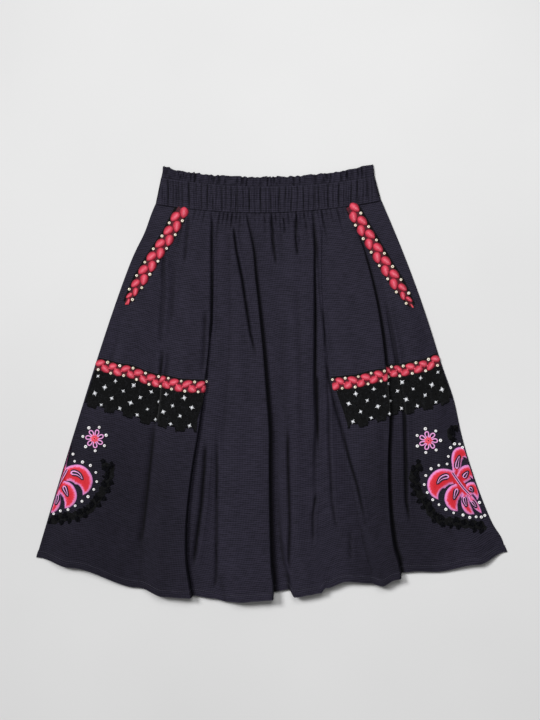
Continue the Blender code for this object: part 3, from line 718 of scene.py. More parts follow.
def frontStrip(nodeName, middle, least, shade):
    # cloth on both sides of its middle surface, nowhere lower than the back's top
    half = gridNormals(middle) * skirt["cloth"] / 2
    top, under = middle + half, middle - half
    under[:, :, 2] = np.maximum(under[:, :, 2], least)
    top[:, :, 2] = np.maximum(top[:, :, 2], least + 0.3)
    return clothPiece(nodeName, under, top, clothUv(middle), shade)


def backPiece(nodeName, top):
    # cloth of the back, flat on the surface
    under = top.copy()
    under[:, :, 2] = 0.0
    return clothPiece(nodeName, under, top, clothUv(top))


# the tone value sets how strong the painted shade is in the crinkles' hollows
casing = {"columns": 760, "rows": 22, "height": 3.1, "swell": 1.35, "crinkle": 0.47,
          "topEdge": 0.7, "stitchUp": 0.86, "stitchHalf": 0.03, "stitchDeep": 0.5,
          "overhang": 1.9, "tone": 1.15, "backRise": (1.0, 0.75)}


def casingWaves(x, up):
    # tight uneven crinkles of the cloth over the relaxed elastic
    drift = 1.6 * np.sin(x / 9.3 + 0.4 * up) + 1.1 * np.sin(x / 23.7 + 2.0) + 0.7 * np.sin(x / 4.9)
    total = np.sin(x / 0.71 + drift + 0.8 * np.sin(up * 4 + x / 17))
    patches = np.sin(x / 6.3 + 1.9 * np.sin(x / 31)) * np.sin(up * 3.5 + x / 12)
    total = total * (0.65 + 0.5 * patches)
    total = total + 0.9 * np.sin(x / 1.37 + 1.7 * np.sin(x / 13.1 + 0.5 * up) + 0.8)
    return total + 0.7 * np.sin(x / 2.9 + 1.4 * np.sin(x / 21.0) + 0.6 * up)


def makeCasing():
    lines = skirt["waistSeam"], skirt["casingTop"]
    x, y = waistPlan(*lines, casing["rows"], casing["columns"])
    up = np.linspace(1, 0, casing["rows"])[:, None]
    fullness = np.sqrt(np.clip(4 * (up * 0.94 + 0.03) * (1 - up * 0.94 - 0.03), 0, 1))
    ends = smooth(np.minimum(x - x[:, :1], x[:, -1:] - x) / 6 + 0.15)
    stitched = bell((up - casing["stitchUp"]) / casing["stitchHalf"])
    height = casing["height"] + casing["swell"] * fullness
    height = height + casing["crinkle"] * (0.35 + 0.65 * fullness) * casingWaves(x, up)
    height = height + casing["topEdge"] * bell(up / 0.07)
    # a stitched line 6 mm under the top pulls the cloth down
    height = height - casing["stitchDeep"] * stitched
    height = np.maximum(height, 2.65) * ends + 1.4 * (1 - ends)
    middle = np.dstack([x, y, height])
    middle[-1, :, 1] -= casing["overhang"]
    # painted shade in the hollows of the crinkles and along the stitched line
    shade = [casing["tone"] * hollowShade(row[:, 0], row[:, 2], 0.8) for row in middle]
    shade = np.clip(np.array(shade) + 0.15 * stitched, 0, 0.9)
    piece = frontStrip("waistband_front", middle, 1.0, shade)
    x, y = waistPlan(*lines, 6, 160)
    rounded = smooth(np.linspace(0, 1, 160) * 40) * smooth(np.linspace(1, 0, 160) * 40)
    low, rise = casing["backRise"]
    return piece, backPiece("waistband_back", np.dstack([x, y, x * 0 + (low + rise * rounded)]))


# the tone value sets the painted shade in the hollows of the waves; the value for the tucks sets
# their painted shadows
ruffle = {"columns": 1000, "rows": 14, "waves": 34, "height": 2.3, "rise": 2.0, "slant": 2.8,
          "ragged": 0.8, "lift": 1.2, "ears": ((4.0, 19), (3.4, 24)), "tone": 0.9, "tuckShadows": 0.75,
          "backHeight": 0.95}


def makeRuffle():
    lines = skirt["casingTop"], skirt["ruffleTop"]
    x, y = waistPlan(*lines, ruffle["rows"], ruffle["columns"])
    up = np.linspace(1, 0, ruffle["rows"])[:, None]
    turn = 2 * math.pi * ruffle["waves"] * (x - x[:, :1]) / (x[:, -1:] - x[:, :1])
    turn = turn + 2.4 * np.sin(x / 19) + 1.3 * np.sin(x / 7.3) + 0.8 * np.sin(x / 3.9 + 1.0)
    lean = 2.2 * np.sin(x / 27 + 0.6) + 1.2 * np.sin(x / 8.7)
    uneven = 0.6 + 0.4 * np.sin(x / 5.1 + 0.7) * np.sin(x / 23)
    swell = 0.3 + 0.7 * smooth(up * 1.3)
    wave = np.sin(turn + lean * up) + 0.4 * np.sin(1.9 * turn + 0.6 - lean * up)
    aside = ruffle["slant"] * swell * uneven * np.cos(turn + lean * up) * up**0.5
    torn = np.sin(turn + 1.1) * uneven + 1.4 * np.sin(x / 11) * np.sin(x / 5.3)
    ears = [rise * bell((x - x[:, end : end + 1 or None]) / reach)
            for end, (rise, reach) in zip((0, -1), ruffle["ears"])]
    height = ruffle["height"] + ruffle["rise"] * swell * (1 + uneven * wave)
    ends = smooth(np.minimum(x - x[:, :1], x[:, -1:] - x) / 5)
    height = height * ends + 1.8 * (1 - ends)
    y = y + ruffle["ragged"] * up**2 * torn - 0.8 * (1 - up)
    middle = np.dstack([x + aside, y + up * (ruffle["lift"] + (ears[0] + ears[1])), height])
    # painted shade in the hollows of the ruffle's waves
    shade = [ruffle["tone"] * hollowShade(row[:, 0], row[:, 2], 1.6) for row in middle]
    # painted shadows: short dark strokes in the tucks where the ruffle leaves the stitched line
    tuckShadows = np.clip(np.sin(turn + 3.0 * lean * up + 0.8 * np.sin(x / 6)), 0, 1) ** 2
    tuckShadows = ruffle["tuckShadows"] * uneven * tuckShadows * bell((up - 0.12) / 0.34)
    shade = np.clip(np.array(shade) + tuckShadows, 0, 0.92)
    piece = frontStrip("waist_ruffle_front", middle, 1.15, shade)
    x, y = waistPlan(*lines, 6, 500)
    up = np.linspace(1, 0, 6)[:, None]
    ragged = np.sin(x / 1.45 + 1.1 * np.sin(x / 11)) + 0.6 * np.sin(x / 2.3 + 2)
    y = y + up**2 * (1.1 + 0.8 * ragged)
    return piece, backPiece("waist_ruffle_back", np.dstack([x, y, x * 0 + ruffle["backHeight"]]))


casingFront, casingBack = makeCasing()
ruffleFront, ruffleBack = makeRuffle()
print("waist made")

back = {"rows": 64, "columns": (34, 60, 34), "hemUp": 3.0, "height": 0.96, "seamGap": 0.15,
        "seamDip": 0.2, "look": 0.03}


def makeBack():
    made = {}
    seams = [stations(creaseRows[creaseNames.index(name)][1], 0.5)
             for name in ("seamLeft", "seamRight")]
    ends = (0.0, *seams, 1.0)
    for index, name in enumerate(("back_side_left", "back_centre", "back_side_right")):
        columns = back["columns"][index]
        across = np.linspace(ends[index], ends[index + 1], columns)
        top = []
        for level in np.linspace(0, 1, back["rows"]):
            left, right = edgesAt(level)
            # the hem lies behind the highest place of the front's hem nearby
            around = across[None, :] + np.array([[-back["look"]], [0.0], [back["look"]]])
            ys = np.array([frontRow(level, line)[1] for line in np.clip(around, 0, 1)])
            y = ys.max(axis=0) if level > 0 else ys[1]
            x = left + (right - left) * across
            if index > 0:
                x[0] += back["seamGap"]
            if index < 2:
                x[-1] -= back["seamGap"]
            top.append(np.stack([x, y + back["hemUp"] * level, x * 0 + back["height"]], axis=1))
        top = np.array(top)
        top[:, (0, -1), 2] -= back["seamDip"]
        made[name] = backPiece(name, top)
    return made


backPieces = makeBack()

facing = {"rows": 60, "foot": 0.37, "underlap": 10.0, "height": 1.8, "half": 0.48,
          "roll": (1.15, 0.62)}


def makeFacing(side):
    middle = []
    for level in np.linspace(0, facing["foot"], facing["rows"]):
        left, right = edgesAt(level)
        across = np.linspace(0, pocketLine(side, level) + facing["underlap"] / (right - left), 20)
        if side == "right":
            across = 1 - across[::-1]
        x, y, _ = frontRow(level, across)
        x = left + (right - left) * across
        waves = 0.12 * np.sin(y / 17 + x / 9) + 0.1
        z = facing["height"] + np.clip(waves, 0, 0.3) * 0.6
        line = np.stack([x, y - 0.3 * (level == 0), z], axis=1)
        # the side edge rolls over to the back
        rim, turn = (line[0], -1) if side == "left" else (line[-1], 1)
        out, down = facing["roll"]
        angles = np.linspace(0.2, 1.0, 6) * math.pi * 0.62
        rolled = np.stack([rim[0] + turn * out * np.sin(angles), np.full(6, rim[1]),
                           rim[2] - down * (1 - np.cos(angles))], axis=1)
        middle.append(np.vstack([rolled[::-1], line] if side == "left" else [line, rolled]))
    middle = np.array(middle)
    half = gridNormals(middle, upward=False) * facing["half"]
    return clothPiece(f"pocket_facing_{side}", middle - half, middle + half, clothUv(middle))


facings = {side: makeFacing(side) for side in sides}
print("back and facings made")


def nodeGroup(name, inputs):
    tree = bpy.data.node_groups.new(name, "GeometryNodeTree")
    tree.interface.new_socket("Geometry", in_out="INPUT", socket_type="NodeSocketGeometry")
    for label, kind, value in inputs:
        socket = tree.interface.new_socket(label, in_out="INPUT", socket_type="NodeSocket" + kind)
        if value is not None:
            socket.default_value = value
    tree.interface.new_socket("Geometry", in_out="OUTPUT", socket_type="NodeSocketGeometry")
    return tree, addNode(tree, "NodeGroupInput").outputs


def endGroup(tree, given, placed):
    real = addNode(tree, "GeometryNodeRealizeInstances", {0: placed})
    painted = addNode(tree, "GeometryNodeSetMaterial", {"Geometry": real,
                                                        "Material": given["Material"]})
    addNode(tree, "NodeGroupOutput", {0: painted})
    return tree


def stitchTree():
    # even running stitches along a curve, each a short rounded thread
    tree, given = nodeGroup("runningStitch", (("Pitch", "Float", 0.003), ("Stitch", "Float", 0.0019),
                                              ("Thread", "Float", 0.0003),
                                              ("Material", "Material", None)))
    resampled = addNode(tree, "GeometryNodeResampleCurve", {"Curve": given["Geometry"],
                        "Length": given["Pitch"]}, mode="LENGTH")
    line = addNode(tree, "GeometryNodeMeshCylinder", {"Vertices": 6, "Side Segments": 2,
                   "Radius": given["Thread"], "Depth": given["Stitch"]})
    tangent = addNode(tree, "GeometryNodeInputTangent")
    turned = addNode(tree, "FunctionNodeAlignRotationToVector", {"Vector": tangent}, axis="Z")
    placed = addNode(tree, "GeometryNodeInstanceOnPoints", {"Points": resampled,
                     "Instance": line, "Rotation": turned})
    return endGroup(tree, given, placed)


def pointTree():
    # one small shape on each point, standing on the point's own normal, with uneven size and turn
    tree, given = nodeGroup("shapesOnPoints", (("Shape", "Object", None), ("Size", "Float", 1.0),
                                               ("Uneven", "Float", 0.1), ("Turn", "Float", 0.3),
                                               ("Seed", "Int", 3), ("Material", "Material", None)))
    shape = addNode(tree, "GeometryNodeObjectInfo", {"Object": given["Shape"]})
    upright = addNode(tree, "GeometryNodeInputNamedAttribute", {"Name": "stand"},
                      data_type="FLOAT_VECTOR").outputs["Attribute"]
    heading = addNode(tree, "GeometryNodeInputNamedAttribute", {"Name": "heading"},
                      data_type="FLOAT").outputs["Attribute"]
    stood = addNode(tree, "FunctionNodeAlignRotationToVector", {"Vector": upright}, axis="Z")
    least = addNode(tree, "ShaderNodeMath", {0: given["Turn"], 1: -1.0}, operation="MULTIPLY")
    jitter = addNode(tree, "FunctionNodeRandomValue", {2: least, 3: given["Turn"],
                     "Seed": given["Seed"]}, data_type="FLOAT").outputs["Value"]
    angle = addNode(tree, "ShaderNodeMath", {0: jitter, 1: heading}, operation="ADD")
    spun = addNode(tree, "FunctionNodeAxisAngleToRotation", {"Axis": (0, 0, 1), "Angle": angle})
    rotation = addNode(tree, "FunctionNodeRotateRotation", {"Rotation": stood, "Rotate By": spun},
                       rotation_space="LOCAL")
    smallest = addNode(tree, "ShaderNodeMath", {0: 1.0, 1: given["Uneven"]}, operation="SUBTRACT")
    largest = addNode(tree, "ShaderNodeMath", {0: 1.0, 1: given["Uneven"]}, operation="ADD")
    uneven = addNode(tree, "FunctionNodeRandomValue", {2: smallest, 3: largest,
                     "Seed": given["Seed"]}, data_type="FLOAT").outputs["Value"]
    scale = addNode(tree, "ShaderNodeMath", {0: uneven, 1: given["Size"]}, operation="MULTIPLY")
    placed = addNode(tree, "GeometryNodeInstanceOnPoints", {
        "Points": given["Geometry"], "Instance": shape.outputs["Geometry"], "Rotation": rotation,
        "Scale": scale})
    return endGroup(tree, given, placed)


runningStitch = stitchTree()
shapesOnPoints = pointTree()


def growPiece(name, data, tree, values, material):
    # runs a node tree on a curve or on loose points, and keeps the result as a plain mesh
    holder = bpy.data.objects.new(name + "_holder", data)
    scene.collection.objects.link(holder)
    modifier = holder.modifiers.new("nodes", "NODES")
    modifier.node_group = tree
    values = {**values, "Material": material}
    for item in tree.interface.items_tree:
        if item.item_type == "SOCKET" and item.in_out == "INPUT" and item.name in values:
            modifier[item.identifier] = values[item.name]
    graph = bpy.context.evaluated_depsgraph_get()
    mesh = bpy.data.meshes.new_from_object(holder.evaluated_get(graph))
    mesh.name = name
    mesh.materials.clear()
    mesh.materials.append(material)
    piece = bpy.data.objects.new(name, mesh)
    scene.collection.objects.link(piece)
    bpy.data.objects.remove(holder)
    return piece


def onPoints(name, spots, shape, values, material, slot="embroidery"):
    # spots: rows of (x, y, z, normal x, y, z, heading)
    spots = np.asarray(spots, float)
    mesh = bpy.data.meshes.new(name + "_spots")
    mesh.from_pydata((spots[:, :3] * mm).tolist(), [], [])
    stand = mesh.attributes.new("stand", "FLOAT_VECTOR", "POINT")
    stand.data.foreach_set("vector", spots[:, 3:6].astype(np.float32).ravel())
    heading = mesh.attributes.new("heading", "FLOAT", "POINT")
    heading.data.foreach_set("value", spots[:, 6].astype(np.float32))
    piece = growPiece(name, mesh, shapesOnPoints, {"Shape": shape, **values}, material)
    piece.data.shade_smooth()
    return settle(piece, slot)


def shapeObject(name, points, faces):
    mesh = buildMesh(name, points, faces, change=lambda made: turnOut(made, 1e-6))
    return bpy.data.objects.new(name, mesh)


def wayAt(angle):
    way = np.array([math.cos(angle), math.sin(angle)])
    return way, np.array([-way[1], way[0]])


def beadShape(around=9, tube=5):
    # a seed bead sewn flat, its hole up
    points, faces = [], []
    for k in range(around):
        angle = 2 * math.pi * k / around
        for j in range(tube):
            turn = 2 * math.pi * j / tube
            reach = 0.6 + 0.4 * math.cos(turn)
            points.append((reach * math.cos(angle), reach * math.sin(angle), 0.5 * math.sin(turn)))
            a, b = k * tube + j, k * tube + (j + 1) % tube
            after = (k + 1) % around * tube
            faces.append((a, after + j, after + (j + 1) % tube, b))
    return shapeObject("beadShape", points, faces)


def starStitchShape(spokes=8):
    # crossed stitches that make a small star: flat spokes with a raised middle
    points, faces = [], []
    for k in range(spokes):
        way, aside = wayAt(2 * math.pi * k / spokes)
        reach = (1.0, 0.62, 1.12, 0.7, 0.86, 0.66, 1.06, 0.56)[k % 8]
        aside = aside * 0.125
        start = len(points)
        for out, width, height in ((0.0, 1.3, 0.36), (0.6, 1.1, 0.30), (reach, 0.55, 0.08)):
            for turn in (-1, 0, 1):
                spot = way * out + aside * width * turn
                points.append((spot[0], spot[1], height * (1.0 if turn == 0 else 0.25)))
        for a in (start, start + 1, start + 3, start + 4):
            faces.append((a, a + 1, a + 4, a + 3))
        foot = len(points)
        for turn in (-1, 1):
            points.append((*(aside * turn * 1.2), -0.1))
            points.append((*(way * reach + aside * turn * 0.5), -0.1))
        faces += [(start, foot, foot + 1, start + 6, start + 3),
                  (start + 2, start + 5, start + 8, foot + 3, foot + 2),
                  (foot, foot + 2, foot + 3, foot + 1),
                  (start + 6, foot + 1, foot + 3, start + 8, start + 7),
                  (start, start + 1, start + 2, foot + 2, foot)]
    return shapeObject("starStitchShape", points, faces)


def tuftShape(fibres=11):
    # a chenille tuft: short curled blades that lean out from one root
    points, faces = [], []
    for k in range(fibres):
        way, aside = wayAt(2.399963 * k)
        lean = 0.35 + 0.65 * ((k * 7) % fibres) / fibres
        start = len(points)
        for out, width, height in ((0.0, 0.2, -0.05), (0.6, 0.27, 0.55), (1.03, 0.07, 0.3)):
            curl = 0.16 * math.sin(k * 1.7) * out
            spot = way * out * lean + aside * curl
            top = height * (1.25 - 0.7 * lean)
            points.append((*(spot - aside * width), top))
            points.append((*(spot + aside * width), top))
            points.append((*spot, top + 0.16))
        for a in (start, start + 3):
            for here, after in ((0, 2), (2, 1), (1, 0)):
                faces.append((a + here, a + after, a + 3 + after, a + 3 + here))
        faces.append((start, start + 1, start + 2))
        faces.append((start + 6, start + 8, start + 7))
    return shapeObject("tuftShape", points, faces)


beadForm = beadShape()
starForm = starStitchShape()
tuftForm = tuftShape()
print("node trees and small shapes ready")


def acrossBand(side):
    # a place (s, t) on a band: s is cloth length from the side edge, t is mm down from its top
    panel = panels[side]
    levels, top, runs = panel["levels"], panel["top"], panel["run"]
    # trims stand between the cloth's normal and straight up, so that they don't cross in a fold
    upward = unit(panel["normal"] + np.array([0, 0, 1.0]))
    order = slice(None) if side == "left" else slice(None, None, -1)
    fromSide = runs - runs[:, 3:4]
    if side == "right":
        back = runs[:, -1:] - runs
        fromSide = back - back[:, -4:-3]
    full = float(fromSide[int((skirt["braidTop"] + 0.013) * (len(levels) - 1))].max())

    def place(s, t, height):
        s, t, height = (np.atleast_1d(np.asarray(v, float)) for v in (s, t, height))
        share = np.clip(s / full, 0, 1)
        sag = 7.5 * share**3 - 1.6 * np.sin(math.pi * share) if side == "right" else 0.0
        rows = (skirt["braidTop"] + (t + sag) / skirt["length"]) * (len(levels) - 1)
        low = np.clip(rows.astype(int), 0, len(levels) - 2)
        part = rows - low
        found = np.zeros((len(s), 3))
        for row in np.unique(low):
            here = low == row
            for step, weight in ((0, 1 - part[here]), (1, part[here])):
                line = fromSide[row + step][order]
                for axis in range(3):
                    ground = np.interp(s[here], line, top[row + step, order, axis])
                    lift = np.interp(s[here], line, upward[row + step, order, axis])
                    found[here, axis] += weight * (ground + lift * height[here])
        return found

    return place, full


def layStrip(name, place, s, t, low, high, material, slot, *nodes, down=-1, turned=False):
    # a thin closed strip on the cloth: s and t are grids, low and high its under side and top
    under, top = (place(s.ravel(), t.ravel(), np.broadcast_to(level, s.shape).ravel())
                  .reshape(*s.shape, 3) for level in (low, high))
    if turned:
        under, top = under[:, ::-1], top[:, ::-1]
    piece = shellPiece(name, under, top, material, np.stack([s, down * t], axis=2) * mm)
    if np.cross(top[0, 1] - top[0, 0], top[1, 0] - top[0, 0])[2] > 0:
        piece.data.flip_normals()
    return settle(piece, slot, *nodes)


def petalParts(along=9, across=6):
    # one padded satin petal in its own terms: length share, width share, height share
    u, v = np.meshgrid(np.linspace(0, 1, along), np.linspace(-1, 1, across + 1), indexing="ij")
    outline = np.sin(math.pi * np.clip(u * 0.96 + 0.02, 0, 1) ** 0.85) ** 0.62
    height = np.sqrt(np.clip(1 - v**2, 0, 1)) * outline
    top = np.stack([u.ravel() * 2 - 1, (v * outline).ravel(), height.ravel()], axis=1)
    foot = top.copy()
    foot[:, 2] = -0.25
    edge = np.maximum(np.abs(v), np.abs(u * 2 - 1) ** 3)
    uv = np.stack([(u * 0.012).ravel(), edge.ravel()], axis=1)
    return np.concatenate([top, foot]), closedFaces(*u.shape), np.concatenate([uv, uv])


class Heap:
    # many small shapes gathered into one mesh
    def __init__(self):
        self.points, self.faces, self.uv, self.count = [], [], [], 0

    def add(self, points, faces, uv):
        self.points.append(np.asarray(points))
        self.faces += [[index + self.count for index in face] for face in faces]
        self.uv.append(np.asarray(uv))
        self.count += len(points)

    def make(self, name, material, points=None, change=turnOut, **ways):
        points = np.concatenate(self.points) if points is None else points
        return meshPiece(name, points, self.faces, material, np.concatenate(self.uv), sharp=60,
                         change=change, **ways)


petalPoints, petalFaces, petalUv = petalParts()


def layPetal(heap, place, s, t, tilt, length, width, rise, seat=0.5):
    long, wide, high = petalPoints.T
    reachS = long * length * math.cos(tilt) - wide * width * math.sin(tilt)
    reachT = long * length * math.sin(tilt) + wide * width * math.cos(tilt)
    heap.add(place(s + reachS, t + reachT, seat + high * rise), petalFaces, petalUv)


bandBraid = {"pitch": 21.5, "half": 8.9, "middle": 8.4, "petalLength": 7.8, "petalWidth": 6.6,
             "rise": 2.5, "tilt": 0.5, "offset": 3.9, "uneven": 0.07, "beadSize": 2.4,
             "cordRise": 0.75, "slip": (0.8, -0.75, 4.6, 2.4, 1.3), "ends": (1.0, 1.2),
             "laceAbove": (3.4, 1.0), "laceRise": 0.5, "firstPetal": 6.0}


def makeBandBraid(side, place, width):
    size = bandBraid
    middle, half, node = size["middle"], size["half"], f"band_braid_{side}"
    head, first, count = middle - half, size["firstPetal"], int(width)
    across = np.linspace(size["ends"][0], width - size["ends"][1], count)
    s, t = np.meshgrid(across, np.linspace(head, middle + half, 5))
    layStrip(node + "_cord", place, s, t, 0.12, size["cordRise"], maroonCord, "leaf_braid", node)
    # the lace that the braid is sewn on shows as a thin black line above it
    above, under = size["laceAbove"]
    s, t = np.meshgrid(across, np.linspace(head - above, head + under, 3))
    layStrip(f"band_lace_{side}_upper", place, s, t, 0.12, size["laceRise"], lace, "black_lace")
    heap, beads = Heap(), []
    offset, tilt, length, wide, rise = size["slip"]
    for k in range(int((width - first) / (size["pitch"] / 2)) + 1):
        s = first + k * size["pitch"] / 2
        turn = -1 if k % 2 == 0 else 1
        uneven = 1 + size["uneven"] * math.sin(k * 2.3)
        layPetal(heap, place, s, middle + turn * size["offset"], turn * size["tilt"],
                 size["petalLength"] * uneven, size["petalWidth"], size["rise"])
        # a small slip of satin between the big petals closes the plait
        layPetal(heap, place, s + size["pitch"] / 4, middle + turn * offset, turn * tilt, length,
                 wide, rise)
        beads.append((*place(s, middle - turn * (half - 1.1), 1.9)[0], 0, 0, 1, k))
    settle(heap.make(node + "_petals", coralSatin), "leaf_braid", node)
    onPoints(node + "_beads", beads, beadForm,
             {"Size": size["beadSize"], "Uneven": 0.12, "Turn": 1.0, "Seed": 5}, pearlBead)


bandLace = {"top": 16.6, "foot": 81.0, "tabPitch": 30.0, "tabDepth": 6.5, "rise": 0.95,
            "edgeRise": 0.35, "dotPitch": 30.0, "dotRows": 4, "dotGap": 14.6, "dotSize": 3.7,
            "firstDot": 27.0, "fringePitch": 1.9, "fluff": 150, "fluffSize": 1.25}


def makeBandLace(side, place, width):
    size, node = bandLace, f"band_lace_{side}"
    s = np.linspace(0.8, width - 1.2, int(width / 1.25))
    tab = smooth((np.sin(2 * math.pi * (s - 6) / size["tabPitch"]) + 0.18) * 5)
    foot = size["foot"] - size["tabDepth"] * (1 - tab)
    foot = foot + 0.8 * np.sin(s / 1.9) * np.sin(s / 0.83) + 0.5 * np.sin(s / 0.71)
    share = np.linspace(0, 1, 26)[:, None]
    t = size["top"] + (foot[None, :] - size["top"]) * share
    s = np.broadcast_to(s[None, :], t.shape)
    net = np.sin(2 * math.pi * s / size["dotPitch"]) * np.sin(math.pi * t / size["dotGap"])
    rise = size["rise"] + 0.3 * net + 0.18 * np.sin(s / 0.9) * np.sin(t / 0.9)
    thin = np.minimum(np.minimum(share, 1 - share) * 12, 1)
    rise = size["edgeRise"] + (rise - size["edgeRise"]) * thin
    piece = layStrip(node + "_net", place, s, t, 0.1, rise, lace, "black_lace", node,
                     turned=side == "right")
    dots, fringe = [], []
    for row in range(size["dotRows"]):
        down = size["firstDot"] + row * size["dotGap"]
        start = (9.0 if row % 2 == 0 else -6.0) + 1.5 * row
        for k in range(8):
            along = start + k * size["dotPitch"] + 0.6 * math.sin(3.1 * k + row)
            if 1.5 < along < width - 2.5:
                here, over = place(along, down, 1.5)[0], place(along, down, 3.5)[0]
                stand = (over - here) / np.linalg.norm(over - here)
                dots.append((*here, *stand, 0.4 * k + row))
    onPoints(node + "_stars", dots, starForm,
             {"Size": size["dotSize"], "Uneven": 0.24, "Turn": 1.6, "Seed": 8}, silverThread)
    # loose ends along the foot of the lace, and fluff on the net
    for k in range(int(width / size["fringePitch"])):
        along = 1.5 + k * size["fringePitch"]
        edge = float(np.interp(along, s[0], t[-1]))
        fringe.append((*place(along, edge - 0.8, 0.5)[0], 0, 0, 1, k * 2.1))
    for k in range(size["fluff"]):
        along = 3 + (k * 47.3) % (width - 6)
        down = size["top"] + 3 + (k * 23.7) % (size["foot"] - size["top"] - 14)
        fringe.append((*place(along, down, 0.7)[0], 0, 0, 1, k * 1.3))
    onPoints(node + "_fluff", fringe, tuftForm, {"Size": size["fluffSize"], "Uneven": 0.35,
             "Turn": 3.1, "Seed": 21}, chenille, "black_lace")
    return piece


lacePieces = {}
for side in sides:
    place, width = acrossBand(side)
    makeBandBraid(side, place, width)
    lacePieces[side] = makeBandLace(side, place, width)
    print(side, "band", round(width), "mm of cloth")


def tubeParts(path, radius, around=6, closed=False):
    path = np.asarray(path, float)
    ahead = np.roll(path, -1, axis=0) if closed else np.vstack([path[1:], path[-1:]])
    behind = np.roll(path, 1, axis=0) if closed else np.vstack([path[:1], path[:-1]])
    way = unit(ahead - behind)
    aside = unit(np.cross(way, np.array([0, 0, 1.0])))
    lift = np.cross(aside, way)
    turns = [2 * math.pi * k / around for k in range(around)]
    points = np.stack([path + (aside * math.cos(turn) + lift * math.sin(turn)) * radius
                       for turn in turns], axis=1).reshape(-1, 3)
    faces, count = [], len(path)
    for row in range(count if closed else count - 1):
        here, below = row * around, (row + 1) % count * around
        for k in range(around):
            after = (k + 1) % around
            faces.append([here + k, here + after, below + after, below + k])
    if not closed:
        faces.append(list(range(around))[::-1])
        faces.append([(count - 1) * around + k for k in range(around)])
    uv = np.stack([np.repeat(np.arange(count) * 0.001, around),
                   np.tile(np.linspace(0, 1, around), count)], axis=1)
    return points, faces, uv


def tubePiece(name, paths, radius, material, slot, *nodes, closed=False):
    heap = Heap()
    for path in paths:
        heap.add(*tubeParts(path, radius, closed=closed))
    return settle(heap.make(name, material), slot, *nodes)


pocketBraid = {"pitch": 25.0, "inset": 13.2, "half": 9.8, "petalLength": 9.4, "petalWidth": 7.3,
               "rise": 2.8, "tilt": 0.36, "offset": 4.5, "tail": 44.0, "beadSize": 2.5,
               "cordRise": 0.7, "tapeRise": 0.45, "columns": 120, "thread": 0.55}


def pathPlace(path, ground):
    # a place (s, t) beside a path on the plan: s along it, t to its left
    path = np.array(path, float)
    runs = pathRuns(path)

    def at(s):
        return np.stack([np.interp(s, runs, path[:, axis]) for axis in range(2)], axis=1)

    def place(s, t, height):
        s, t, height = (np.atleast_1d(np.asarray(v, float)) for v in (s, t, height))
        way = unit(at(s + 4) - at(s - 4))
        beyond = np.clip(s - runs[-1], 0, None) + np.clip(s, None, 0)
        plan = at(s) + way * beyond[:, None]
        plan = plan + np.stack([-way[:, 1], way[:, 0]], axis=1) * t[:, None]
        level = np.array([ground.height(float(x), float(y)) for x, y in plan]) + height
        return np.concatenate([plan, level[:, None]], axis=1)

    return place, runs[-1]


def makePocketBraid(side):
    size, node = pocketBraid, f"pocket_braid_{side}"
    turn = 1 if side == "left" else -1
    path = []
    for level in np.linspace(0.006, skirt["pockets"][side][1] - 0.018, 25):
        share = pocketLine(side, level)
        x, y, _ = frontRow(level, np.array([share if side == "left" else 1 - share]))
        path.append((float(x[0]) + turn * size["inset"], float(y[0])))
    place, length = pathPlace(path, grounds[side])
    heap, beads = Heap(), []

    def narrow(s):
        return float(np.clip(0.3 + 0.7 * (length - s) / size["tail"], 0.3, 1.0))

    k, s = 0, 6.0
    while s < length - 3:
        thin = narrow(s)
        inner = 1 if k % 2 == 0 else -1
        layPetal(heap, place, s, inner * size["offset"] * thin, inner * size["tilt"],
                 size["petalLength"] * (0.35 + 0.65 * thin), size["petalWidth"] * thin,
                 size["rise"] * thin)
        if thin > 0.55:
            spot = place(s + size["pitch"] * 0.52, inner * size["half"] * 0.88 * thin, 1.9)[0]
            beads.append((*spot, 0, 0, 1, k))
        s += size["pitch"] / 2 * (0.45 + 0.55 * thin)
        k += 1
    settle(heap.make(node + "_petals", coralSatin), "leaf_braid", node)
    along = np.linspace(0.5, length - 0.5, size["columns"])
    halves = np.array([size["half"] * 0.86 * narrow(v) for v in along])
    t = np.linspace(-1, 1, 5)[:, None] * halves[None, :]
    layStrip(node + "_cord", place, np.broadcast_to(along, t.shape), t, 0.1, size["cordRise"],
             maroonCord, "leaf_braid", node, down=1)
    # the black tape under the braid, wider on the side of the pocket's edge
    ends = -turn * (size["inset"] - 0.4), turn * (size["half"] * 0.9 + 1.8)
    t = np.linspace(*ends, 6)[:, None] * np.array([0.25 + 0.75 * narrow(v) for v in along])[None, :]
    layStrip(node + "_tape", place, np.broadcast_to(along, t.shape), t, 0.08, size["tapeRise"],
             lace, "black_lace", down=1)
    # the tail: two loose threads past the last petal
    for index, bend in enumerate((1.0, -0.6)):
        tail = [place(length - 4 + v, bend * math.sin(v / 4), 0.7)[0] for v in range(13)]
        tubePiece(f"{node}_tail_{index}", [tail], size["thread"], redThread, "leaf_braid")
    onPoints(node + "_beads", beads, beadForm,
             {"Size": size["beadSize"], "Uneven": 0.1, "Turn": 1.0, "Seed": 6}, pearlBead)


for side in sides:
    makePocketBraid(side)
print("braids and lace bands made")

star = {"places": {"left": (-284.6, -88.3), "right": (249.5, -91.5)}, "petals": 7, "inner": 3.6,
        "outer": 14.4, "loopHalf": 3.4, "swirl": 1.3, "thread": 1.15, "heartThread": 0.8,
        "beadOut": 19.4, "beadSize": 2.7, "start": {"left": 0.22, "right": 0.08}}


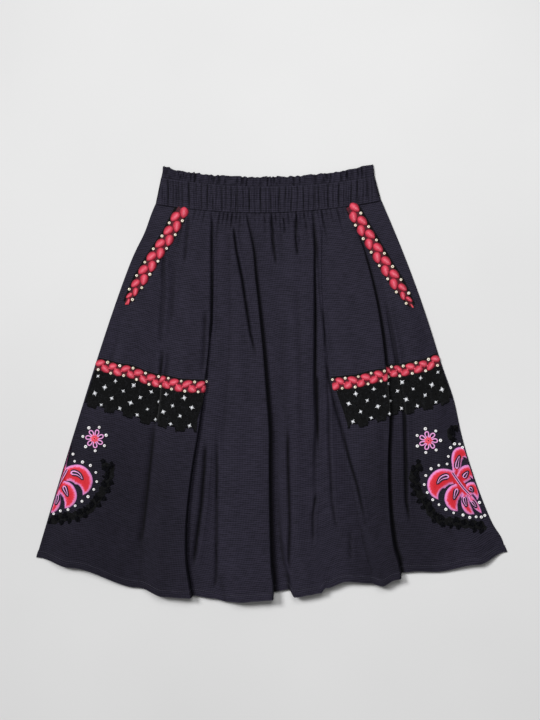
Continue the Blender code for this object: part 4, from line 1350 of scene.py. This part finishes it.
def makeStar(side):
    # looped petals of thick thread, short strands in the middle and a bead before each petal
    ground, node = grounds[side], f"star_{side}"
    centre = np.array(star["places"][side])
    loops, strands, beads = [], [], []
    swirl = 1 if side == "left" else -1
    for k in range(star["petals"]):
        angle = 2 * math.pi * k / star["petals"] + star["start"][side]
        way, aside = wayAt(angle)
        loop = []
        for turn in np.linspace(0, 2 * math.pi, 22, endpoint=False):
            share = (1 - math.cos(turn)) / 2
            half = star["loopHalf"] * math.sin(turn) * (0.35 + 0.65 * share) * 1.15
            out = star["inner"] + (star["outer"] - star["inner"]) * share
            spot = centre + way * out + aside * (half + swirl * star["swirl"] * share)
            loop.append((*spot, ground.height(*spot) + 0.8))
        loops.append(loop)
        for shift in (-0.22, 0.0, 0.22):
            line = []
            for out in np.linspace(1.0, 7.4 if shift == 0 else 5.6, 5):
                spot = centre + out * wayAt(angle + shift)[0]
                line.append((*spot, ground.height(*spot) + 1.15 + 0.5 * (1 - out / 8)))
            strands.append(line)
        spot = centre + way * star["beadOut"] + aside * swirl * 1.2
        beads.append((*spot, ground.height(*spot) + 1.5, 0, 0, 1, k))
    tubePiece(node + "_petals", loops, star["thread"], lilacThread, "embroidery", node, closed=True)
    tubePiece(node + "_heart", strands, star["heartThread"], coralThread, "embroidery")
    onPoints(node + "_beads", beads, beadForm,
             {"Size": star["beadSize"], "Uneven": 0.12, "Turn": 1.0, "Seed": 4}, whiteBead)


for side in sides:
    makeStar(side)

leaf = {
    "places": {"left": (-338.3, -154.0), "right": (298.0, -158.0)},
    "turn": {"left": 0.09, "right": 0.0},
    "edgeClear": 0.2,
    "near": 3.0,  # what comes nearer to the side edge than this is pressed together
    "heart": {"rise": 1.3, "base": 0.5, "along": 20, "rim": 0.2},
    "veinHeight": 2.6,
    "veinThreads": (1.2, 0.75, 0.65),  # half the gap, radius of each thread and of the groove
    "beadSize": 2.5,
    # name, material, row that it follows (0 lobe, 1 drop) and its sizes
    "layers": (
        ("satin", leafSatin, 0, {"rise": 1.7, "base": 0.5, "along": 26}),
        ("outline", navyThread, 0, {"rise": 0.2, "base": 0.3, "along": 18, "across": 6,
                                    "wider": 1.3}),
        ("drops", navyThread, 1, {"rise": 0.25, "base": 2.7, "along": 14, "across": 6,
                                  "wider": 2.2}),
        ("rings", lilacThread, 1, {"rise": 0.3, "base": 2.95, "along": 14, "across": 6}),
        ("hearts", navyThread, 1, {"rise": 0.3, "base": 3.3, "along": 12, "across": 4,
                                   "thinner": 0.52}),
    ),
}

# Lobes of the leaf on the right side, each a row of X, Y and half width in mm along its middle
# line from the vein to the tip, and the paisley drop that lies on it
leafLobes = (
    (((-4.0, 7.0, 9.0), (-10.0, 7.4, 10.8), (-17.5, 8.0, 13.2), (-27.6, 5.6, 15.8),
      (-35.6, -2.0, 14.6), (-38.3, -11.1, 11.2), (-36.9, -20.4, 6.6), (-32.3, -27.8, 1.2)),
     ((-15.0, 8.6, 3.2), (-21.0, 9.3, 3.4), (-28.5, 6.0, 2.4), (-34.3, -2.0, 0.7))),
    (((5.6, -8.4, 9.4), (-0.6, -12.6, 11.0), (-7.4, -18.0, 12.4), (-10.9, -28.0, 11.7),
      (-8.4, -37.8, 8.5), (-4.2, -43.4, 4.8), (-0.9, -46.6, 1.2)),
     ((-2.4, -9.9, 2.7), (-4.0, -15.5, 2.9), (-6.1, -21.8, 1.7), (-7.5, -26.6, 0.6))),
    (((11.5, -16.5, 4.4), (10.0, -21.8, 5.0), (10.7, -30.1, 6.5), (13.1, -39.0, 7.2),
      (18.6, -46.8, 5.8), (26.3, -51.5, 1.2)),
     ((8.6, -23.0, 2.1), (9.8, -30.4, 2.3), (12.6, -38.5, 0.6))),
    (((17.0, -19.6, 3.4), (19.2, -23.8, 4.0), (24.4, -32.3, 5.0), (29.6, -39.7, 4.7),
      (34.6, -46.1, 3.0), (38.1, -50.3, 0.9)),
     ((21.0, -30.0, 1.8), (24.6, -35.0, 1.9), (28.6, -40.0, 0.6))),
    (((-4.6, 10.6, 5.4), (-2.8, 17.5, 6.6), (-2.5, 28.2, 7.9), (-2.0, 37.2, 9.4),
      (1.9, 44.8, 11.0), (9.1, 46.0, 9.0), (13.9, 42.2, 5.6), (16.7, 36.7, 1.0)),
     ((-2.6, 21.0, 2.6), (-2.4, 28.2, 2.8), (-0.6, 35.3, 2.0), (1.8, 42.0, 0.6))),
    (((1.4, 2.6, 9.0), (5.0, 6.6, 10.6), (10.6, 12.4, 12.4), (16.5, 16.0, 11.6),
      (21.5, 13.2, 8.4), (24.0, 8.2, 4.0), (25.1, 4.0, 1.0)),
     ((7.8, 7.0, 2.7), (11.0, 11.0, 3.0), (15.4, 16.6, 0.8))),
    (((12.0, -14.4, 7.4), (15.7, -14.6, 8.4), (20.3, -10.2, 10.0), (25.7, -11.1, 9.4),
      (29.1, -17.5, 6.4), (30.7, -23.5, 3.5), (31.0, -29.2, 1.0)),
     ((16.8, -9.6, 2.5), (20.0, -11.0, 2.6), (23.2, -14.8, 0.7))),
)
# The satin that lies along the vein and joins the lobes
leafHeart = ((-8.2, 14.6, 1.6), (-4.2, 8.4, 4.6), (0.4, 1.6, 6.4), (5.6, -5.6, 6.6),
             (11.2, -12.4, 5.6), (17.4, -18.8, 3.6), (22.4, -23.4, 1.2))
leafVein = ((-9.7, 15.3), (-5.4, 8.6), (-1.0, 2.4), (3.6, -4.0), (8.6, -10.2), (13.6, -15.6),
            (19.4, -21.4))

# guide points in mm of the bead rows round the leaves and of the tufted edgings
beadGuides = {
    "right": ((304.8, -102.6), (300.0, -97.2), (291.7, -96.9), (285.3, -102.9), (281.6, -116.8),
              (279.5, -128.9), (266.2, -131.0), (253.9, -136.6), (245.5, -147.5), (243.1, -161.9),
              (248.0, -174.7), (256.6, -186.2), (266.5, -194.0), (277.5, -201.3), (289.9, -207.0),
              (305.0, -210.5), (316.0, -214.6), (326.4, -213.8), (335.0, -214.3), (340.6, -211.7),
              (332.0, -191.0)),
    "left": ((-319.7, -113.4), (-317.0, -124.8), (-304.0, -125.9), (-291.2, -131.2),
             (-282.5, -142.4), (-281.1, -157.0), (-285.7, -169.5), (-294.9, -181.0),
             (-304.6, -188.4), (-315.6, -195.7), (-327.4, -202.1), (-339.8, -204.3),
             (-350.9, -209.0)),
}
edgingGuides = {
    "leaf_edging_right": ((237.0, -128.0), (224.0, -145.0), (227.5, -160.5), (231.0, -174.4),
                          (241.4, -186.5), (248.3, -198.7), (255.3, -210.8), (269.1, -221.2),
                          (290.0, -223.0), (310.8, -226.4), (328.0, -228.2), (342.8, -233.4)),
    "leaf_edging_top_right": ((300.5, -70.5), (291.0, -71.5), (284.5, -79.0), (286.0, -91.0)),
    "leaf_edging_left": ((-272.8, -129.0), (-258.4, -135.2), (-261.8, -154.7), (-269.1, -171.4),
                         (-280.2, -187.8), (-293.0, -202.6), (-309.6, -211.7), (-327.8, -215.4),
                         (-346.2, -219.0), (-357.0, -224.0)),
}


def leafPoint(side, spots):
    spots = np.array(spots, float)
    if side == "left":
        spots = spots * np.array([-1, 1])
    cos, sin = math.cos(leaf["turn"][side]), math.sin(leaf["turn"][side])
    turned = np.stack([spots[:, 0] * cos - spots[:, 1] * sin,
                       spots[:, 0] * sin + spots[:, 1] * cos], axis=1)
    return turned + np.array(leaf["places"][side])


def throughPoints(guide, spacing=0.0, count=0):
    # a smooth line through guide points, cut into even steps; further columns follow along
    guide = np.array(guide, float)
    padded = np.vstack([2 * guide[0] - guide[1], guide, 2 * guide[-1] - guide[-2]])
    line = []
    for a, b, c, d in zip(padded, padded[1:], padded[2:], padded[3:]):
        for share in np.linspace(0, 1, 12, endpoint=False):
            line.append(0.5 * (2 * b + (c - a) * share + (2 * a - 5 * b + 4 * c - d) * share**2
                               + (3 * b - a - 3 * c + d) * share**3))
    line = np.array(line + [guide[-1]])
    runs = pathRuns(line[:, :2])
    steps = np.linspace(0, runs[-1], count or max(2, int(round(runs[-1] / spacing)) + 1))
    return np.stack([np.interp(steps, runs, column) for column in line.T], axis=1)


def lobeParts(row, rise=1.0, base=0.2, along=22, across=10, drop=False, thinner=1.0, wider=0.0,
              rim=1.0):
    # a padded shape on a bent middle line, with its own width at each place
    us = np.linspace(0, 1, along)
    cut = 0.2 * (1 - thinner)
    line = throughPoints(row, count=80)
    places = np.linspace(0, 1, 80)
    line = np.stack([np.interp(cut + (1 - 2 * cut) * us, places, part) for part in line.T], axis=1)
    spine, profile = line[:, :2], np.maximum(line[:, 2], 0.3) * thinner + wider
    way = unit(np.gradient(spine, axis=0))
    aside = np.stack([-way[:, 1], way[:, 0]], axis=1)
    blunt = np.sqrt(np.clip(1 - us**12, 0, 1))
    ends = blunt * np.sqrt(np.clip(1 - (1 - us) ** 12, 0, 1))
    profile = profile * (ends if drop else blunt) + 0.02
    spine = spine + way * (wider * smooth((us - 0.8) / 0.2))[:, None]
    u, v = np.meshgrid(us, np.linspace(-1, 1, across + 1), indexing="ij")
    plan = spine[:, None] + aside[:, None] * (profile[:, None] * v)[:, :, None]
    dome = np.sqrt(np.clip(1 - v**2, 0, 1)) ** 0.7 * ends[:, None] * (0.6 + 0.4 * smooth(u * 3))
    # how near the outline: 1 there, 0 at 12 mm inside
    length = np.linalg.norm(np.diff(spine, axis=0), axis=1).sum()
    edge = np.maximum(1 - (1 - np.abs(v)) * profile[:, None] / 12, 1 - (1 - u) * length / 12)
    edge = np.clip(edge, 0, 1) * smooth(u / 0.12 + 0.2) * rim
    uv = np.stack([u * 0.045, edge], axis=2).reshape(-1, 2)
    top = np.dstack([plan, base + rise * dome]).reshape(-1, 3)
    low = top.copy()
    low[:, 2] = 0.05
    return np.concatenate([top, low]), closedFaces(*u.shape), np.concatenate([uv, uv])


def insideEdge(side, x, y):
    # mm from the side edge, where that edge is, and the way in from it
    inward = 1 if side == "left" else -1
    edge = sideLine(sides.index(side), y)
    return (x - edge) * inward, edge, inward


def dropPiece(name, heap, side, material, *nodes):
    # moves flat shapes to the leaf's place and lays them on the cloth. What runs over the side edge
    # is pressed together there, as it goes round to the back
    points = np.concatenate(heap.points)
    points[:, :2] = leafPoint(side, points[:, :2])
    gap, edge, inward = insideEdge(side, *points[:, :2].T)
    near = leaf["near"]
    gap = np.where(gap > near, gap, near * np.exp((np.minimum(gap, near) - near) / near))
    points[:, 0] = edge + (gap + leaf["edgeClear"]) * inward

    def lay(made):
        turnOut(made, 1e-4)
        for vertex in made.verts:
            vertex.co.z += grounds[side].height(vertex.co.x, vertex.co.y)
            vertex.co *= mm

    return settle(heap.make(name, material, points, lay, scale=1.0), "embroidery", *nodes)


def makeLeaf(side):
    node = f"leaf_{side}"
    for name, material, row, size in leaf["layers"]:
        heap = Heap()
        if name == "satin":
            heap.add(*lobeParts(leafHeart, **leaf["heart"]))
        for index, rows in enumerate(leafLobes):
            # a lobe that lies wholly on the back isn't made
            plan = leafPoint(side, [spot[:2] for spot in rows[0]])
            if insideEdge(side, *plan.T)[0].max() < -2:
                continue
            lift = 0.14 * (index % 3) if name == "satin" else 0.0
            heap.add(*lobeParts(rows[row], drop=row == 1, **{**size, "base": size["base"] + lift}))
        dropPiece(f"{node}_{name}", heap, side, material, *([node] if name == "satin" else []))
    shift, radius, groove = leaf["veinThreads"]
    middle = throughPoints(leafVein, 2.0)
    level = np.full((len(middle), 1), leaf["veinHeight"])
    heap = Heap()
    for aside in (-shift, shift):
        heap.add(*tubeParts(np.hstack([middle + np.array([aside, aside * 0.7]), level]), radius))
    dropPiece(node + "_vein", heap, side, lilacThread)
    heap = Heap()
    heap.add(*tubeParts(np.hstack([middle, level])[:-3], groove))
    dropPiece(node + "_vein_groove", heap, side, navyThread)
    beads = [(x, y, grounds[side].height(x, y) + 1.3, 0, 0, 1, x) for x, y in beadGuides[side]]
    onPoints(node + "_beads", beads, beadForm,
             {"Size": leaf["beadSize"], "Uneven": 0.14, "Turn": 1.0, "Seed": 9}, whiteBead)


for side in sides:
    makeLeaf(side)
print("stars and leaves made")

edging = {"outer": 5.0, "inner": 8.4, "step": 2.6, "cluster": 6.6, "ring": 3.9, "tuftSize": 2.9,
          "tufts": 8, "apart": 4.8, "netRise": 0.6, "edgeClear": 0.8, "tuftClear": 2.0}


def makeEdging(nodeName, side):
    ground = grounds[side]
    inward = insideEdge(side, 0.0, 0.0)[2]
    small = 0.5 if "top" in nodeName else 1.0

    def acrossLine(spacing):
        line = throughPoints(edgingGuides[nodeName], spacing)
        way = unit(np.gradient(line, axis=0))
        return zip(line, np.stack([-way[:, 1], way[:, 0]], axis=1) * -inward), len(line)

    spots = []
    for k, (middle, over) in enumerate(acrossLine(edging["cluster"])[0]):
        # small clusters of tufts, in two staggered rows with gaps
        middle = middle + over * edging["apart"] * small * (1 if k % 2 else -1) * (
            1 + 0.3 * math.sin(2.7 * k))
        if k % 5 == 4:
            continue
        for j in range(edging["tufts"]):
            angle = 2 * math.pi * j / (edging["tufts"] - 1) + 1.3 * k
            reach = edging["ring"] * (0.75 + 0.35 * math.sin(k + 3 * j)) if j else 0.0
            spot = middle + reach * (1.0 if k % 2 else 0.7) * wayAt(angle)[0]
            if insideEdge(side, *spot)[0] > edging["tuftClear"]:
                spots.append((*spot, ground.height(*spot) + 0.3, 0, 0, 1, k * 2.4 + j))
    line, count = acrossLine(edging["step"])
    net = []
    for k, (middle, over) in enumerate(line):
        wide = (1 + 0.2 * math.sin(k * 1.3)) * min(1, 0.4 + 0.2 * min(k, count - 1 - k))
        net.append([])
        for reach in np.linspace(-edging["outer"], edging["inner"] * small, 6):
            x, y = middle + over * reach * wide
            gap, edge, _ = insideEdge(side, x, y)
            if gap <= edging["edgeClear"]:
                x = float(edge) + edging["edgeClear"] * inward
            net[-1].append((x, y, ground.height(x, y)))
    net = np.array(net)
    low = net + np.array([0, 0, 0.08])
    top = net + np.array([0, 0, edging["netRise"]])
    base = shellPiece(nodeName + "_net", low, top, lace, low[:, :, :2] * mm)
    if np.cross(low[1, 2] - low[0, 2], low[0, 3] - low[0, 2])[2] < 0:
        base.data.flip_normals()
    settle(base, "black_lace", nodeName)
    onPoints(nodeName + "_tufts", spots, tuftForm, {"Size": edging["tuftSize"], "Uneven": 0.35,
             "Turn": 3.1, "Seed": 17}, chenille, "black_lace")


for nodeName, side in (("leaf_edging_left", "left"), ("leaf_edging_right", "right"),
                       ("leaf_edging_top_right", "right")):
    makeEdging(nodeName, side)
print("edgings made")

stitches = {"hemUp": 8.6, "lift": 0.1, "Pitch": 0.0032, "Stitch": 0.0021, "Thread": 0.00035}


def stitchHem():
    curve = bpy.data.curves.new("hem_stitches_path", "CURVE")
    curve.dimensions = "3D"
    for panel in panels.values():
        row = int((1 - stitches["hemUp"] / skirt["length"]) * (len(panel["levels"]) - 1))
        path = panel["top"][row][::2] + np.array([0, 0, stitches["lift"]])
        spline = curve.splines.new("POLY")
        spline.points.add(len(path) - 1)
        for point, spot in zip(spline.points, path):
            point.co = (*(spot * mm), 1.0)
    settle(growPiece("hem_stitches", curve, runningStitch, stitches, sewingThread), "cotton")


stitchHem()
print("stitches made")

cutSizes = (
    # piece, width and length of its flat cut in metres, area in square metres, what it lies on
    (panelPieces["left"], 0.288, 0.633, 0.1128, ["back_side_left_cloth"]),
    (panelPieces["centre"], 0.297, 0.632, 0.1512, ["back_centre_cloth"]),
    (panelPieces["right"], 0.300, 0.614, 0.1070, ["back_side_right_cloth"]),
    (casingFront, 0.361, 0.058, 0.0160, ["waistband_back_cloth"]),
    (casingBack, 0.361, 0.056, 0.0147, []),
    (ruffleFront, 0.343, 0.034, 0.0070, ["waist_ruffle_back_cloth"]),
    (ruffleBack, 0.343, 0.034, 0.0057, []),
    (backPieces["back_side_left"], 0.303, 0.627, 0.1085, []),
    (backPieces["back_centre"], 0.280, 0.624, 0.1281, []),
    (backPieces["back_side_right"], 0.313, 0.611, 0.1075, []),
    (facings["left"], 0.058, 0.211, 0.0061, ["back_side_left_cloth"]),
    (facings["right"], 0.066, 0.212, 0.0070, ["back_side_right_cloth"]),
    (lacePieces["left"], 0.191, 0.105, 0.0115, ["front_side_left_cloth"]),
    (lacePieces["right"], 0.184, 0.101, 0.0110, ["front_side_right_cloth"]),
)
for piece, width, length, area, rests in cutSizes:
    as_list(rests)

stage = {"size": 7.0, "drop": 0.2, "paper": ("#d9d9d9", "#dddddd", 0.9, 2.0, 0.0)}
half, drop = stage["size"] * 500, -stage["drop"]
corners = [(-half, -half, drop), (half, -half, drop), (half, half, drop), (-half, half, drop)]
meshPiece("floor", corners, [[0, 1, 2, 3]],
                   plainMaterial("paleStudioPaper", *stage["paper"]))

studio = {"sun": {"kind": "SUN", "place": (-0.58, 0.40, 0.71), "energy": 2.4,
                  "angle": math.radians(18.0)},
          "top": {"kind": "AREA", "place": (0.0, 0.7, 1.6), "energy": 13.5, "size": 1.0},
          "world": 0.18, "camera": (-0.004, 0.0376, 2.73), "lens": 85, "sensor": 36}
for name in ("sun", "top"):
    lampData = bpy.data.lights.new(name, studio[name]["kind"])
    for setting, value in studio[name].items():
        if setting not in ("kind", "place"):
            setattr(lampData, setting, value)
    lamp = bpy.data.objects.new(name, lampData)
    lamp.location = studio[name]["place"]
    lamp.rotation_mode = "QUATERNION"
    lamp.rotation_quaternion = (-Vector(lamp.location)).to_track_quat("-Z", "Y")
    scene.collection.objects.link(lamp)

world = bpy.data.worlds.new("studio")
world.use_nodes = True
backdrop = world.node_tree.nodes["Background"].inputs
backdrop["Color"].default_value = (1, 1, 1, 1)
backdrop["Strength"].default_value = studio["world"]
scene.world = world
scene.view_settings.view_transform = "Standard"

cameraData = bpy.data.cameras.new("camera")
cameraData.lens, cameraData.sensor_width = studio["lens"], studio["sensor"]
camera = bpy.data.objects.new("camera", cameraData)
camera.location = studio["camera"]
scene.collection.objects.link(camera)
scene.camera = camera

for form in (beadForm, starForm, tuftForm):
    bpy.data.objects.remove(form)
